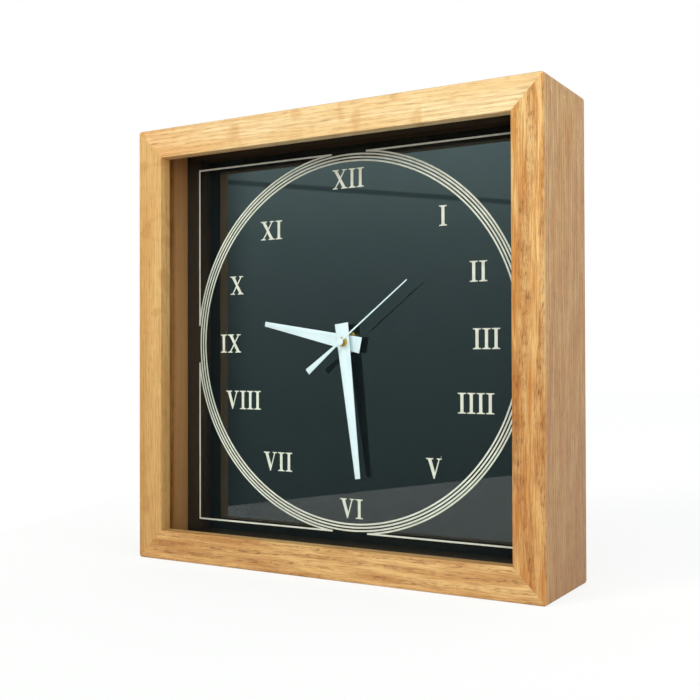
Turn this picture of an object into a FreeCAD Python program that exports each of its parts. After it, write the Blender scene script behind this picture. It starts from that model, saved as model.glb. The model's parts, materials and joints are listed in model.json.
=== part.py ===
import FreeCAD, Part
import math
import os
import re

import Sketcher

# A square shadow-box wall clock: a deep mitred oak frame, a glazed front, a dark dial set well back,
# three flat tapered hands and a quartz movement on the back of the dial board.
#
# Frame of the model, in millimetres: X to the viewer's right, Y away from the viewer, Z up.
# The origin is the middle of the underside. The front faces -Y, and the hands turn about a
# shaft that runs along Y through the middle of the square.

DRIVING = {
    # frame
    "frame_width": 266.7,
    "frame_depth": 63.5,
    "face_width": 18.0,
    "wall": 9.25,
    "lip_depth": 8.0,
    "arris": 0.8,
    "corner_cut": 1.2,
    # glass, spacers, dial and board
    "pane_thick": 2.0,
    "pane_gap": 0.3,
    "spacer_thick": 2.0,
    "dial_depth": 33.75,
    "dial_thick": 0.4,
    "board_thick": 3.0,
    "strip_size": 8.0,
    # wire brads and the hanger
    "brad_wire": 1.2,
    "brad_length": 24.0,
    "brad_head": 2.0,
    "brad_head_thick": 0.6,
    "brad_inset": 6.6,
    "brad_front": 9.8,
    "brad_pitch": 20.4,
    "filler_thick": 1.6,
    "strip_wire": 1.0,
    "strip_brad_length": 14.0,
    "strip_head": 1.8,
    "strip_head_thick": 0.4,
    "strip_brad_pitch": 84.0,
    "nail_clear": 0.05,
    "hanger_width": 44.0,
    "hanger_height": 7.0,
    "hanger_metal": 0.8,
    "hanger_rise": 1.8,
    "hanger_tab": 6.0,
    "hanger_step": 1.6,
    "hanger_bend": 0.4,
    "hanger_gap": 0.5,
    "hanger_inset": 0.3,
    "tooth_pitch": 2.6,
    "tooth_height": 1.5,
    "hanger_wire": 1.0,
    "hanger_nail_length": 7.0,
    "hanger_nail_head": 2.6,
    "hanger_head_thick": 0.5,
    # threaded bush and what it clamps
    "bush_radius": 4.0,
    "bush_stand": 3.3,
    "hole_gap": 0.1,
    "washer_radius": 6.0,
    "washer_thick": 0.5,
    "nut_flats": 12.0,
    "nut_thick": 2.0,
    "gasket_size": 24.0,
    "gasket_thick": 0.8,
    # movement case, whose rooms are as large as the train, the coil, the circuit and the cell need
    "case_wall": 1.5,
    "case_corner": 3.0,
    "bay_gap": 0.4,
    "post_reach": 1.6,
    "post_inset": 3.4,
    "post_margin": 3.1,
    "thumb_radius": 11.0,
    "thumb_drop": 4.0,
    "thumb_depth": 4.0,
    "plate_gap": 0.2,
    "train_thick": 1.0,
    # wheel train
    "play": 0.3,
    "run_gap": 0.05,
    "press_gap": 0.02,
    "wheel_thick": 1.0,
    "leaf_over": 0.1,
    "arbor_radius": 0.5,
    "pivot_depth": 0.5,
    "minute_tube": 1.6,
    "hour_tube": 2.55,
    "tube_step": 0.28,
    "tube_stand": 0.1,
    "thread_stand": 0.95,
    "stud_radius": 0.7,
    "train_distance": 10.2,
    "seconds_distance": 8.4,
    "rotor_distance": 7.2,
    "setting_distance": 9.0,
    "magnet_radius": 3.0,
    "magnet_thick": 2.2,
    # coil and its iron circuit
    "stator_thick": 0.8,
    "stator_gap": 0.5,
    "stator_clear": 0.4,
    "stator_arm": 3.5,
    "stator_band": 5.2,
    "stator_lip": 1.8,
    "stator_post_rise": 6.8,
    "stator_post_drop": 3.0,
    "notch_size": 1.2,
    "notch_offset": 2.6,
    "core_height": 3.0,
    "bobbin_half": 1.8,
    "winding_margin": 0.2,
    "coil_gap": 2.0,
    "coil_margin": 1.5,
    "coil_radius": 2.8,
    "flange_thick": 0.8,
    # circuit board
    "circuit_thick": 0.8,
    "circuit_drop": 5.5,
    "circuit_length": 20.0,
    "circuit_height": 8.0,
    "crystal_radius": 1.0,
    "crystal_length": 6.0,
    "chip_size": 4.8,
    "chip_thick": 0.6,
    "chip_left": 1.6,
    "crystal_left": 9.5,
    "crystal_rise": 1.5,
    "circuit_margin": 0.5,
    # battery cell and its contacts
    "cell_radius": 7.1,
    "cell_length": 49.5,
    "cell_button": 1.0,
    "button_radius": 2.7,
    "contact_gap": 0.85,
    "contact_thick": 0.4,
    "contact_width": 9.0,
    "dimple_size": 4.0,
    "spring_radius": 3.4,
    # setting knob
    "knob_radius": 5.0,
    "knob_thick": 4.5,
    "knob_arbor": 1.0,
    "flute_depth": 0.45,
    # hands
    "hand_thick": 0.4,
    "hour_plane": 4.5,
    "hour_length": 58.6,
    "hour_tail": 10.4,
    "hour_wide": 9.6,
    "hour_tip": 2.9,
    "minute_plane": 6.85,
    "minute_length": 80.1,
    "minute_tail": 11.0,
    "minute_wide": 9.0,
    "minute_tip": 3.3,
    "minute_nut_radius": 2.8,
    "minute_nut_thick": 1.35,
    "second_plane": 10.85,
    "second_length": 55.8,
    "second_tail": 28.5,
    "second_wide": 1.1,
    "second_tip": 0.8,
    "weight_wide": 3.8,
    "second_hub": 2.1,
    "sleeve_radius": 0.8,
    "sleeve_length": 1.9,
}

# Directions from one axis to the next, in degrees anticlockwise from +X as seen from the front.
THIRD_DIRECTION = 135.0
INTER_DIRECTION = 10.0
ROTOR_DIRECTION = 70.0
SETTING_DIRECTION = 200.0

# Places that follow from the sizes above. Depths are Y values, measured from the middle of the frame.
DERIVED = {
    "half": "frame_width / 2",
    "front_face": "-frame_depth / 2",
    "back_face": "frame_depth / 2",
    "sight_half": "half - face_width",
    "wall_half": "half - wall",
    "pane_half": "wall_half - pane_gap",
    "pane_front": "front_face + lip_depth",
    "pane_back": "pane_front + pane_thick",
    "dial_front": "front_face + dial_depth",
    "dial_back": "dial_front + dial_thick",
    "board_back": "dial_back + board_thick",
    "strip_back": "board_back + strip_size",
    "brad_drop": "filler_thick + brad_head_thick",
    "hanger_floor": "back_face - hanger_metal - hanger_rise",
    "hanger_low": "frame_width - wall + hanger_inset",
    "case_front": "board_back + gasket_thick",
    "case_inside": "case_front + case_wall",
    "cell_depth": "case_inside + play + cell_radius",
    "rotor_across": "seconds_distance * cos(INTER) + rotor_distance * cos(ROTOR)",
    "rotor_height": "half + seconds_distance * sin(INTER) + rotor_distance * sin(ROTOR)",
    "coil_rise": "stator_band + coil_gap + coil_radius",
    "train_top": "rotor_height + coil_rise + coil_radius + coil_margin",
    "case_top": "train_top + case_wall",
    "circuit_bottom": "half - circuit_drop - circuit_height",
    "train_bottom": "circuit_bottom - circuit_margin",
    "bay_top": "train_bottom - case_wall",
    "cell_height": "bay_top - bay_gap - cell_radius",
    "bay_bottom": "cell_height - cell_radius - bay_gap",
    "case_bottom": "bay_bottom - case_wall",
    "contact_half": "cell_length / 2 + cell_button / 2 + contact_gap",
    "inner_half": "contact_half + contact_thick",
    "case_half": "inner_half + case_wall",
    "post_right": "inner_half - post_inset",
    "post_low": "train_bottom + post_margin",
    "post_high": "train_top - post_margin",
    "hour_front": "case_inside + play",
    "cannon_front": "hour_front + wheel_thick + play",
    "centre_front": "cannon_front + wheel_thick + play",
    "train_front": "centre_front + wheel_thick + play",
    "train_back": "train_front + train_thick",
    "third_front": "train_back + play",
    "seconds_front": "third_front + wheel_thick + play",
    "inter_front": "seconds_front + wheel_thick + play",
    "magnet_front": "inter_front + wheel_thick + play",
    "cover_inside": "max(cell_depth + cell_radius - case_wall; magnet_front + magnet_thick + play)",
    "case_back": "cover_inside + case_wall",
    "case_depth": "case_back - case_front",
    "core_front": "magnet_front",
    "stator_front": "core_front + stator_thick",
    "stator_back": "stator_front + stator_thick",
    "pivot_back": "cover_inside + pivot_depth",
    "pivot_front": "case_inside - pivot_depth",
    "hour_face": "dial_front - hour_plane",
    "hour_seat": "hour_face + hand_thick",
    "minute_face": "dial_front - minute_plane",
    "minute_seat": "minute_face + hand_thick",
    "second_face": "dial_front - second_plane",
    "second_seat": "second_face + hand_thick",
    "nut_front": "dial_front - washer_thick - nut_thick",
    "bush_front": "dial_front - bush_stand",
    "stator_width": "2 * (post_right - post_reach - stator_clear - rotor_across)",
    "coil_length": "stator_width - 2 * stator_arm - 2 * play",
    "circuit_left": "post_right - post_reach - play - circuit_length",
}

# Tooth counts of the wheels and leaf counts of the pinions.
TEETH = {
    "seconds_wheel_teeth": 36, "seconds_pinion_teeth": 6,
    "third_wheel_teeth": 45, "third_pinion_teeth": 6,
    "centre_wheel_teeth": 48,
    "inter_wheel_teeth": 30, "inter_pinion_teeth": 6,
    "rotor_pinion_teeth": 6,
    "cannon_pinion_teeth": 12, "setting_wheel_teeth": 36,
    "setting_pinion_teeth": 8, "hour_wheel_teeth": 32,
    "knob_pinion_teeth": 12,
}

# Shape of a tooth. Heights are in modules above and below the pitch circle, and widths are shares
# of half a pitch.
WHEEL_TOOTH = {"addendum": 1.10, "dedendum": 1.00, "root": 1.30, "tip": 0.25}
PINION_TOOTH = {"addendum": 0.65, "dedendum": 1.45, "root": 1.10, "tip": 0.35}

# Where the hands stand, in degrees clockwise from twelve.
HOUR_ANGLE = 281.6
MINUTE_ANGLE = 173.2
SECOND_ANGLE = 51.9
NUT_ANGLE = 8.0

# Radius of the ring on which a new outline's corners start, before their sizes pull them into place.
SKETCH_START = 9.0

doc = FreeCAD.newDocument("shadow_box_clock")
sizes = doc.addObject("Spreadsheet::Sheet", "sizes")
PARTS = []


def bound(text):
    """Give each size named in an expression its sheet's name."""
    def swap(word):
        name = word.group()
        return "sizes." + name if name in DRIVING or name in DERIVED else name
    return re.sub(r"[a-z_]+", swap, text)


def with_directions(formula):
    """Write the directions that a formula names as angles."""
    for word, angle in (("INTER", INTER_DIRECTION), ("ROTOR", ROTOR_DIRECTION)):
        formula = formula.replace(word, "%s deg" % angle)
    return formula


def fill_sheet():
    for row, (name, number) in enumerate(DRIVING.items(), start=1):
        sizes.set("A%d" % row, name)
        sizes.set("B%d" % row, str(number))
        sizes.setAlias("B%d" % row, name)
    for row, (name, formula) in enumerate(DERIVED.items(), start=1):
        sizes.set("D%d" % row, name)
        sizes.set("E%d" % row, "=" + with_directions(formula))
        sizes.setAlias("E%d" % row, name)
    doc.recompute()


def size(name):
    return float(sizes.get(name))


# Helpers for bodies, sketches and features.


def keep(item, label):
    item.Label = label
    PARTS.append(item)
    return item


def place(item, x="0", y="0", z="0", turn=0.0):
    """Put an item at a bound place, turned clockwise as seen from the front."""
    item.Placement = FreeCAD.Placement(FreeCAD.Vector(), FreeCAD.Rotation(FreeCAD.Vector(0, 1, 0), turn))
    item.setExpression("Placement.Base.x", bound(x))
    item.setExpression("Placement.Base.y", bound(y))
    item.setExpression("Placement.Base.z", bound(z))
    return item


def new_body(name):
    return doc.addObject("PartDesign::Body", name)


def new_sketch(body, role, offset="0"):
    sketch = body.newObject("Sketcher::SketchObject", body.Name + "_sketch")
    plane = [item for item in body.Origin.OriginFeatures if item.Role == role][0]
    sketch.AttachmentSupport = (plane, [""])
    sketch.MapMode = "FlatFace"
    if offset != "0":
        sketch.setExpression("AttachmentOffset.Base.z", bound(offset))
    return sketch


def fix(sketch, kind, where, formula, start=1.0):
    index = sketch.addConstraint(Sketcher.Constraint(kind, *where, start))
    sketch.setExpression("Constraints[%d]" % index, bound(formula))


def polygon(sketch, corners):
    """Draw a closed outline whose corners are bound to the sheet."""
    first = sketch.GeometryCount
    count = len(corners)
    ring = []
    for index in range(count):
        angle = 2 * math.pi * index / count
        ring.append(FreeCAD.Vector(math.cos(angle), math.sin(angle), 0) * SKETCH_START)
    for index in range(count):
        sketch.addGeometry(Part.LineSegment(ring[index], ring[(index + 1) % count]), False)
    for index in range(count):
        after = first + (index + 1) % count
        sketch.addConstraint(Sketcher.Constraint("Coincident", first + index, 2, after, 1))
    for index, (across, up) in enumerate(corners):
        fix(sketch, "DistanceX", (-1, 1, first + index, 1), across, ring[index].x)
        fix(sketch, "DistanceY", (-1, 1, first + index, 1), up, ring[index].y)
    return sketch


def rectangle(sketch, low_x, low_z, high_x, high_z):
    return polygon(sketch, [(low_x, low_z), (high_x, low_z), (high_x, high_z), (low_x, high_z)])


def circle(sketch, across, up, radius):
    index = sketch.GeometryCount
    sketch.addGeometry(Part.Circle(FreeCAD.Vector(0, 0, 0), FreeCAD.Vector(0, 0, 1), 1.0), False)
    fix(sketch, "DistanceX", (-1, 1, index, 3), across)
    fix(sketch, "DistanceY", (-1, 1, index, 3), up)
    fix(sketch, "Radius", (index,), radius)
    return sketch


def pad(body, sketch, length, reverse=False, middle=False):
    feature = body.newObject("PartDesign::Pad", body.Name + "_pad")
    feature.Profile = sketch
    feature.setExpression("Length", bound(length))
    feature.Reversed = reverse
    if middle:
        feature.SideType = "Symmetric"
    doc.recompute()
    return feature


def pocket(body, sketch, length, reverse=False, middle=False):
    """Cut a sketch into a body, and stop if it cuts nothing."""
    before = body.Shape.Volume
    feature = body.newObject("PartDesign::Pocket", body.Name + "_pocket")
    feature.Profile = sketch
    feature.setExpression("Length", bound(length))
    feature.Reversed = reverse
    if middle:
        feature.SideType = "Symmetric"
    doc.recompute()
    if body.Shape.Volume >= before - 1e-6:
        raise RuntimeError("%s: a pocket cuts nothing" % body.Name)
    return feature


def turned(name, corners, x="0", z="half", turn=0.0):
    """Revolve an outline of (radius, depth) corners about an axis along Y."""
    body = new_body(name)
    sketch = polygon(new_sketch(body, "XY_Plane"), corners)
    feature = body.newObject("PartDesign::Revolution", name + "_turn")
    feature.Profile = sketch
    feature.ReferenceAxis = (sketch, ["V_Axis"])
    feature.Angle = 360.0
    doc.recompute()
    return place(body, x, "0", z, turn)


def edges_where(shape, test):
    names = []
    for index, edge in enumerate(shape.Edges, start=1):
        if test(edge):
            names.append("Edge%d" % index)
    return names


def fillet(body, radius, test):
    base = body.Tip
    feature = body.newObject("PartDesign::Fillet", body.Name + "_fillet")
    feature.Base = (base, edges_where(base.Shape, test))
    feature.setExpression("Radius", bound(radius))
    doc.recompute()
    return feature


def slab(name, width, depth, height, x, y, z):
    """A plain block with its low corner at a bound place."""
    block = doc.addObject("Part::Box", name)
    block.setExpression("Length", bound(width))
    block.setExpression("Width", bound(depth))
    block.setExpression("Height", bound(height))
    return place(block, x, y, z)


def along_y(shape_maker, front, back):
    """Build a solid standing on the XY plane, then lay it along +Y from front to back."""
    solid = shape_maker(back - front)
    solid.rotate(FreeCAD.Vector(), FreeCAD.Vector(1, 0, 0), -90)
    solid.translate(FreeCAD.Vector(0, front, 0))
    return solid


def rod(radius, front, back, x=0.0, z=0.0):
    solid = along_y(lambda length: Part.makeCylinder(radius, length), front, back)
    solid.translate(FreeCAD.Vector(x, 0, z))
    return solid


def centred_block(wide, deep, high, middle):
    """A block whose front face is centred on a point."""
    return Part.makeBox(wide, deep, high, middle - FreeCAD.Vector(wide / 2, 0, high / 2))


def feature_from(name, shape):
    item = doc.addObject("Part::Feature", name)
    item.Shape = shape
    return item


# The frame, its brads and what it holds.


def rail(name, turn, notched=False):
    """One mitred rail, drawn as the bottom one and turned about the middle of the clock."""
    body = new_body(name + "_blank")
    section = polygon(new_sketch(body, "YZ_Plane"), [
        ("front_face", "-half"),
        ("back_face", "-half"),
        ("back_face", "-wall_half"),
        ("pane_front", "-wall_half"),
        ("pane_front", "-sight_half"),
        ("front_face", "-sight_half"),
    ])
    pad(body, section, "frame_width", middle=True)
    low = -size("half")
    fillet(body, "arris", lambda edge: abs(edge.Length - size("frame_width")) < 0.01
           and abs(edge.CenterOfMass.z - low) < 0.01)
    for side in ("", "-"):
        mitre = polygon(new_sketch(body, "XZ_Plane"), [
            (side + "(half - corner_cut)", "-half - 1"),
            (side + "(half - corner_cut)", "-half"),
            (side + "(half - corner_cut / 2)", "-half + corner_cut / 2"),
            (side + "(half - face_width - 2)", "-half + face_width + 2"),
            (side + "(half + 2)", "-half + face_width + 2"),
            (side + "(half + 2)", "-half - 1"),
        ])
        pocket(body, mitre, "frame_depth + 2", middle=True)
    if notched:
        notch = polygon(new_sketch(body, "XZ_Plane", "-back_face"), [
            ("-hanger_width / 2 - hanger_gap", "-wall_half + 1"),
            ("-hanger_width / 2 - hanger_gap", "-wall_half - hanger_height - hanger_inset - hanger_gap"),
            ("hanger_width / 2 + hanger_gap", "-wall_half - hanger_height - hanger_inset - hanger_gap"),
            ("hanger_width / 2 + hanger_gap", "-wall_half + 1"),
        ])
        pocket(body, notch, "back_face - hanger_floor", reverse=True)
    return place(body, "0", "0", "half", turn)


def stick(wide, deep, low, high):
    """A square stick along +Z, centred on the axis."""
    return Part.makeBox(wide, deep, high - low, FreeCAD.Vector(-wide / 2, -deep / 2, low))


def brad(wire, length, head, head_thick):
    """A square wire brad along +Z, with its oblong head at the start."""
    return stick(head, wire, 0, head_thick).fuse(stick(wire, wire, 0, length)).removeSplitter()


def corner_places():
    """Head, direction and turn of the brads: up through the bottom rail, inwards through the sides."""
    half = size("half")
    inset = size("brad_inset")
    first = size("front_face") + size("brad_front")
    places = []
    for depth in (first, first + size("brad_pitch")):
        for side in (-1, 1):
            places.append((FreeCAD.Vector(side * (half - inset), depth, 0), FreeCAD.Vector(0, 0, 1)))
            top = FreeCAD.Vector(side * half, depth, 2 * half - inset)
            places.append((top, FreeCAD.Vector(-side, 0, 0)))
    return places


def strip_places():
    """Heads of the brads that hold the four retaining strips."""
    half = size("half")
    reach = size("wall_half") - size("strip_size")
    depth = size("board_back") + size("strip_size") / 2
    places = []
    for side in ((0, -1), (0, 1), (-1, 0), (1, 0)):
        outward = FreeCAD.Vector(side[0], 0, side[1])
        sideways = FreeCAD.Vector(side[1], 0, side[0])
        for step in (-1, 0, 1):
            centre = FreeCAD.Vector(0, depth, half) + outward * reach
            places.append((centre + sideways * (step * size("strip_brad_pitch")), outward))
    return places


def hanger_places():
    """Seats of the two nails through the hanger's tabs."""
    across = (size("hanger_width") - size("hanger_tab")) / 2
    height = size("hanger_low") + size("hanger_height") / 2
    depth = size("hanger_floor") + size("hanger_metal")
    return [(FreeCAD.Vector(side * across, depth, height), FreeCAD.Vector(0, -1, 0)) for side in (-1, 1)]


def set_at(shape, spot, direction, sink=0.0):
    copy = shape.copy()
    turn = FreeCAD.Rotation(FreeCAD.Vector(0, 0, 1), direction)
    copy.Placement = FreeCAD.Placement(spot + direction * sink, turn)
    return copy


def fixings():
    """Brads, filler plugs and nails, and one compound of the holes they need."""
    gap = 2 * size("nail_clear")
    wire = size("brad_wire")
    drop = size("brad_drop")
    corner = brad(wire, size("brad_length"), size("brad_head"), size("brad_head_thick"))
    plug = stick(size("brad_head"), wire, 0, size("filler_thick"))
    bore = stick(size("brad_head") + gap, wire + gap, 0, drop)
    bore = bore.fuse(stick(wire + gap, wire + gap, 0, drop + size("brad_length")))
    strip = brad(size("strip_wire"), size("strip_brad_length"), size("strip_head"), size("strip_head_thick"))
    strip_bore = stick(size("strip_wire") + gap, size("strip_wire") + gap, 0, size("strip_brad_length"))
    nail = stick(size("hanger_wire"), size("hanger_wire"), 0, size("hanger_nail_length"))
    nail = nail.fuse(stick(size("hanger_nail_head"), size("hanger_nail_head"), 0, size("hanger_head_thick")))
    nail_bore = stick(size("hanger_wire") + gap, size("hanger_wire") + gap, 0, size("hanger_nail_length"))
    corners = corner_places()
    strips = strip_places()
    hangers = hanger_places()
    keep(feature_from("corner_brads", Part.makeCompound(
        [set_at(corner, spot, way, size("filler_thick")) for spot, way in corners])), "corner_brads")
    keep(feature_from("brad_fillers", Part.makeCompound(
        [set_at(plug, spot, way) for spot, way in corners])), "brad_fillers")
    keep(feature_from("strip_brads", Part.makeCompound(
        [set_at(strip, spot, way, -size("strip_head_thick")) for spot, way in strips])), "strip_brads")
    keep(feature_from("hanger_nails", Part.makeCompound(
        [set_at(nail, spot, way, -size("hanger_head_thick")) for spot, way in hangers])), "hanger_nails")
    holes = [set_at(bore, spot, way) for spot, way in corners]
    holes += [set_at(strip_bore, spot, way) for spot, way in strips]
    holes += [set_at(nail_bore, spot, way) for spot, way in hangers]
    return feature_from("nail_holes", Part.makeCompound(holes))


def drilled(label, base, holes):
    cut = doc.addObject("Part::Cut", label)
    cut.Base = base
    cut.Tool = holes
    return keep(cut, label)


def frame(holes):
    drilled("frame_rail_bottom", rail("bottom", 0.0), holes)
    drilled("frame_rail_left", rail("left", 90.0), holes)
    drilled("frame_rail_top", rail("top", 180.0, notched=True), holes)
    drilled("frame_rail_right", rail("right", 270.0), holes)


def glazing():
    """The pane lies on the lip, and four thin strips hold it and space the dial behind it."""
    pane = slab("glass_pane", "2 * pane_half", "pane_thick", "2 * pane_half",
                "-pane_half", "pane_front", "half - pane_half")
    keep(pane, "glass_pane")
    run = "dial_front - pane_back"
    low = "half - wall_half"
    short = "2 * (wall_half - spacer_thick)"
    keep(slab("spacer_bottom", "2 * wall_half", run, "spacer_thick", "-wall_half", "pane_back", low),
         "spacer_bottom")
    keep(slab("spacer_top", "2 * wall_half", run, "spacer_thick", "-wall_half", "pane_back",
              "half + wall_half - spacer_thick"), "spacer_top")
    keep(slab("spacer_left", "spacer_thick", run, short, "-wall_half", "pane_back",
              low + " + spacer_thick"), "spacer_left")
    keep(slab("spacer_right", "spacer_thick", run, short, "wall_half - spacer_thick", "pane_back",
              low + " + spacer_thick"), "spacer_right")


def strips(holes):
    """Square strips behind the board, butted at the corners and nailed to the rails."""
    low = "half - wall_half"
    long_side = "2 * wall_half"
    short_side = "2 * (wall_half - strip_size)"
    blanks = [
        ("retainer_bottom", long_side, "strip_size", "-wall_half", low),
        ("retainer_top", long_side, "strip_size", "-wall_half", "half + wall_half - strip_size"),
        ("retainer_left", "strip_size", short_side, "-wall_half", low + " + strip_size"),
        ("retainer_right", "strip_size", short_side, "wall_half - strip_size", low + " + strip_size"),
    ]
    for label, width, height, x, z in blanks:
        blank = slab(label + "_blank", width, "strip_size", height, x, "board_back", z)
        drilled(label, blank, holes)


def board(label, front, thick, reach="pane_half"):
    """A square sheet with the hole for the threaded bush."""
    body = new_body(label)
    sketch = rectangle(new_sketch(body, "XZ_Plane"), "-" + reach, "-" + reach, reach, reach)
    circle(sketch, "0", "0", "bush_radius + hole_gap")
    pad(body, sketch, thick, reverse=True)
    keep(place(body, "0", front, "half"), label)


def hanger():
    """A sawtooth hanger: two flat tabs, a raised bridge, and teeth along the bridge's lower edge."""
    body = new_body("sawtooth_hanger")
    inner = "hanger_width / 2 - hanger_tab"
    bridge = inner + " - hanger_step"
    lift = "hanger_rise"
    metal = "hanger_metal"
    outline = [
        ("-hanger_width / 2", "0"),
        ("-(" + inner + ")", "0"),
        ("-(" + bridge + ")", lift),
        (bridge, lift),
        (inner, "0"),
        ("hanger_width / 2", "0"),
        ("hanger_width / 2", metal),
        (inner + " - hanger_bend", metal),
        (bridge + " - hanger_bend", lift + " + " + metal),
        ("-(" + bridge + " - hanger_bend)", lift + " + " + metal),
        ("-(" + inner + " - hanger_bend)", metal),
        ("-hanger_width / 2", metal),
    ]
    pad(body, polygon(new_sketch(body, "XY_Plane"), outline), "hanger_height")
    holes = new_sketch(body, "XZ_Plane")
    for side in ("", "-"):
        middle = side + "(hanger_width - hanger_tab) / 2"
        reach = "(hanger_wire / 2 + nail_clear)"
        rectangle(holes, middle + " - " + reach, "hanger_height / 2 - " + reach,
                  middle + " + " + reach, "hanger_height / 2 + " + reach)
    pocket(body, holes, "2 * hanger_metal", middle=True)
    gap = new_sketch(body, "XZ_Plane", "-hanger_rise - hanger_metal")
    polygon(gap, [
        ("-tooth_pitch / 2 - 3 * tooth_pitch", "-0.2"),
        ("tooth_pitch / 2 - 3 * tooth_pitch", "-0.2"),
        ("-3 * tooth_pitch", "tooth_height"),
    ])
    tooth = pocket(body, gap, "hanger_metal", reverse=True)
    pattern = body.newObject("PartDesign::LinearPattern", "teeth")
    pattern.Originals = [tooth]
    pattern.Direction = (gap, ["H_Axis"])
    pattern.setExpression("Length", bound("6 * tooth_pitch"))
    pattern.Occurrences = 7
    body.Tip = pattern
    doc.recompute()
    keep(place(body, "0", "hanger_floor", "hanger_low"), "sawtooth_hanger")


# The threaded bush and what it clamps.


def bush():
    keep(turned("threaded_bush", [
        ("hour_tube + run_gap", "bush_front"),
        ("bush_radius", "bush_front"),
        ("bush_radius", "case_inside"),
        ("hour_tube + run_gap", "case_inside"),
    ]), "threaded_bush")
    keep(turned("bush_washer", [
        ("bush_radius + hole_gap", "dial_front - washer_thick"),
        ("washer_radius", "dial_front - washer_thick"),
        ("washer_radius", "dial_front"),
        ("bush_radius + hole_gap", "dial_front"),
    ]), "bush_washer")
    board("rubber_gasket", "board_back", "gasket_thick", "gasket_size / 2")


def hex_nut():
    """A plain hexagon on the bush, with the thread left as clearance."""
    body = new_body("bush_nut")
    corners = []
    for index in range(6):
        angle = 60 * index
        radius = "nut_flats / 2 / cos(30 deg)"
        corners.append(("%s * cos(%d deg)" % (radius, angle), "%s * sin(%d deg)" % (radius, angle)))
    sketch = polygon(new_sketch(body, "XZ_Plane"), corners)
    circle(sketch, "0", "0", "bush_radius + run_gap")
    pad(body, sketch, "nut_thick", reverse=True)
    keep(place(body, "0", "nut_front", "half", NUT_ANGLE), "bush_nut")


# Wheels and pinions.


def tooth_outline(count, module, wheel):
    """One turn of teeth, each with straight flanks from a broad root to a narrow tip."""
    shape = WHEEL_TOOTH if wheel else PINION_TOOTH
    low = module * (count / 2 - shape["dedendum"])
    high = module * (count / 2 + shape["addendum"])
    half_pitch = math.pi / count
    root = half_pitch * shape["root"] / 2
    tip = half_pitch * shape["tip"] / 2
    rings = [(low, -root), (high, -tip), (high, tip), (low, root)]
    points = []
    for index in range(count):
        for radius, angle in rings:
            turn = angle + 2 * math.pi * index / count
            points.append(FreeCAD.Vector(radius * math.cos(turn), 0, radius * math.sin(turn)))
    return points + points[:1]


def toothed(count, module, wheel, front, back, phase):
    """A toothed disc along Y from front to back, with one tooth at the given phase angle."""
    face = Part.Face(Part.makePolygon(tooth_outline(count, module, wheel)))
    solid = face.extrude(FreeCAD.Vector(0, back - front, 0))
    solid.rotate(FreeCAD.Vector(), FreeCAD.Vector(0, 1, 0), -phase)
    solid.translate(FreeCAD.Vector(0, front, 0))
    return solid


def meshed(count, phase, direction, mate_count):
    """Phase of a mate's tooth, so that its gap faces the tooth that points towards it."""
    share = (direction - phase) * count / 360.0
    return direction + 180.0 + (share - 0.5) * 360.0 / mate_count


def teeth(name):
    return TEETH[name + "_teeth"]


def step(origin, distance, direction):
    angle = math.radians(direction)
    return (origin[0] + distance * math.cos(angle), origin[1] + distance * math.sin(angle))


def layout():
    """Axes and phases of the train, with the seconds wheel's tooth at zero as its start."""
    centre = (0.0, size("half"))
    third = step(centre, size("train_distance"), THIRD_DIRECTION)
    inter = step(centre, size("seconds_distance"), INTER_DIRECTION)
    rotor = step(inter, size("rotor_distance"), ROTOR_DIRECTION)
    setting = step(centre, size("setting_distance"), SETTING_DIRECTION)
    knob = step(setting, size("setting_distance"), SETTING_DIRECTION)
    phase = {"seconds": 0.0, "cannon": 0.0}
    phase["third"] = meshed(teeth("seconds_pinion"), 0.0, THIRD_DIRECTION, teeth("third_wheel"))
    phase["centre"] = meshed(teeth("third_pinion"), phase["third"], THIRD_DIRECTION + 180.0,
                             teeth("centre_wheel"))
    phase["inter"] = meshed(teeth("seconds_wheel"), 0.0, INTER_DIRECTION, teeth("inter_pinion"))
    phase["rotor"] = meshed(teeth("inter_wheel"), phase["inter"], ROTOR_DIRECTION, teeth("rotor_pinion"))
    phase["setting"] = meshed(teeth("cannon_pinion"), 0.0, SETTING_DIRECTION, teeth("setting_wheel"))
    phase["hour"] = meshed(teeth("setting_pinion"), phase["setting"], SETTING_DIRECTION + 180.0,
                           teeth("hour_wheel"))
    phase["knob"] = meshed(teeth("setting_wheel"), phase["setting"], SETTING_DIRECTION,
                           teeth("knob_pinion"))
    return {"centre": centre, "third": third, "inter": inter, "rotor": rotor,
            "setting": setting, "knob": knob}, phase


def module_for(distance, first, second):
    return 2 * distance / (first + second)


def wheel_part(label, spot, pieces, bore=None):
    """Fuse the discs and rods of one wheel, bore it if it turns on a tube or stud, and place it."""
    solid = pieces[0].fuse(pieces[1:]) if len(pieces) > 1 else pieces[0]
    if bore:
        solid = solid.cut(bore)
    item = feature_from(label, solid.removeSplitter())
    item.Placement = FreeCAD.Placement(FreeCAD.Vector(spot[0], 0, spot[1]), FreeCAD.Rotation())
    return keep(item, label)


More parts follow.
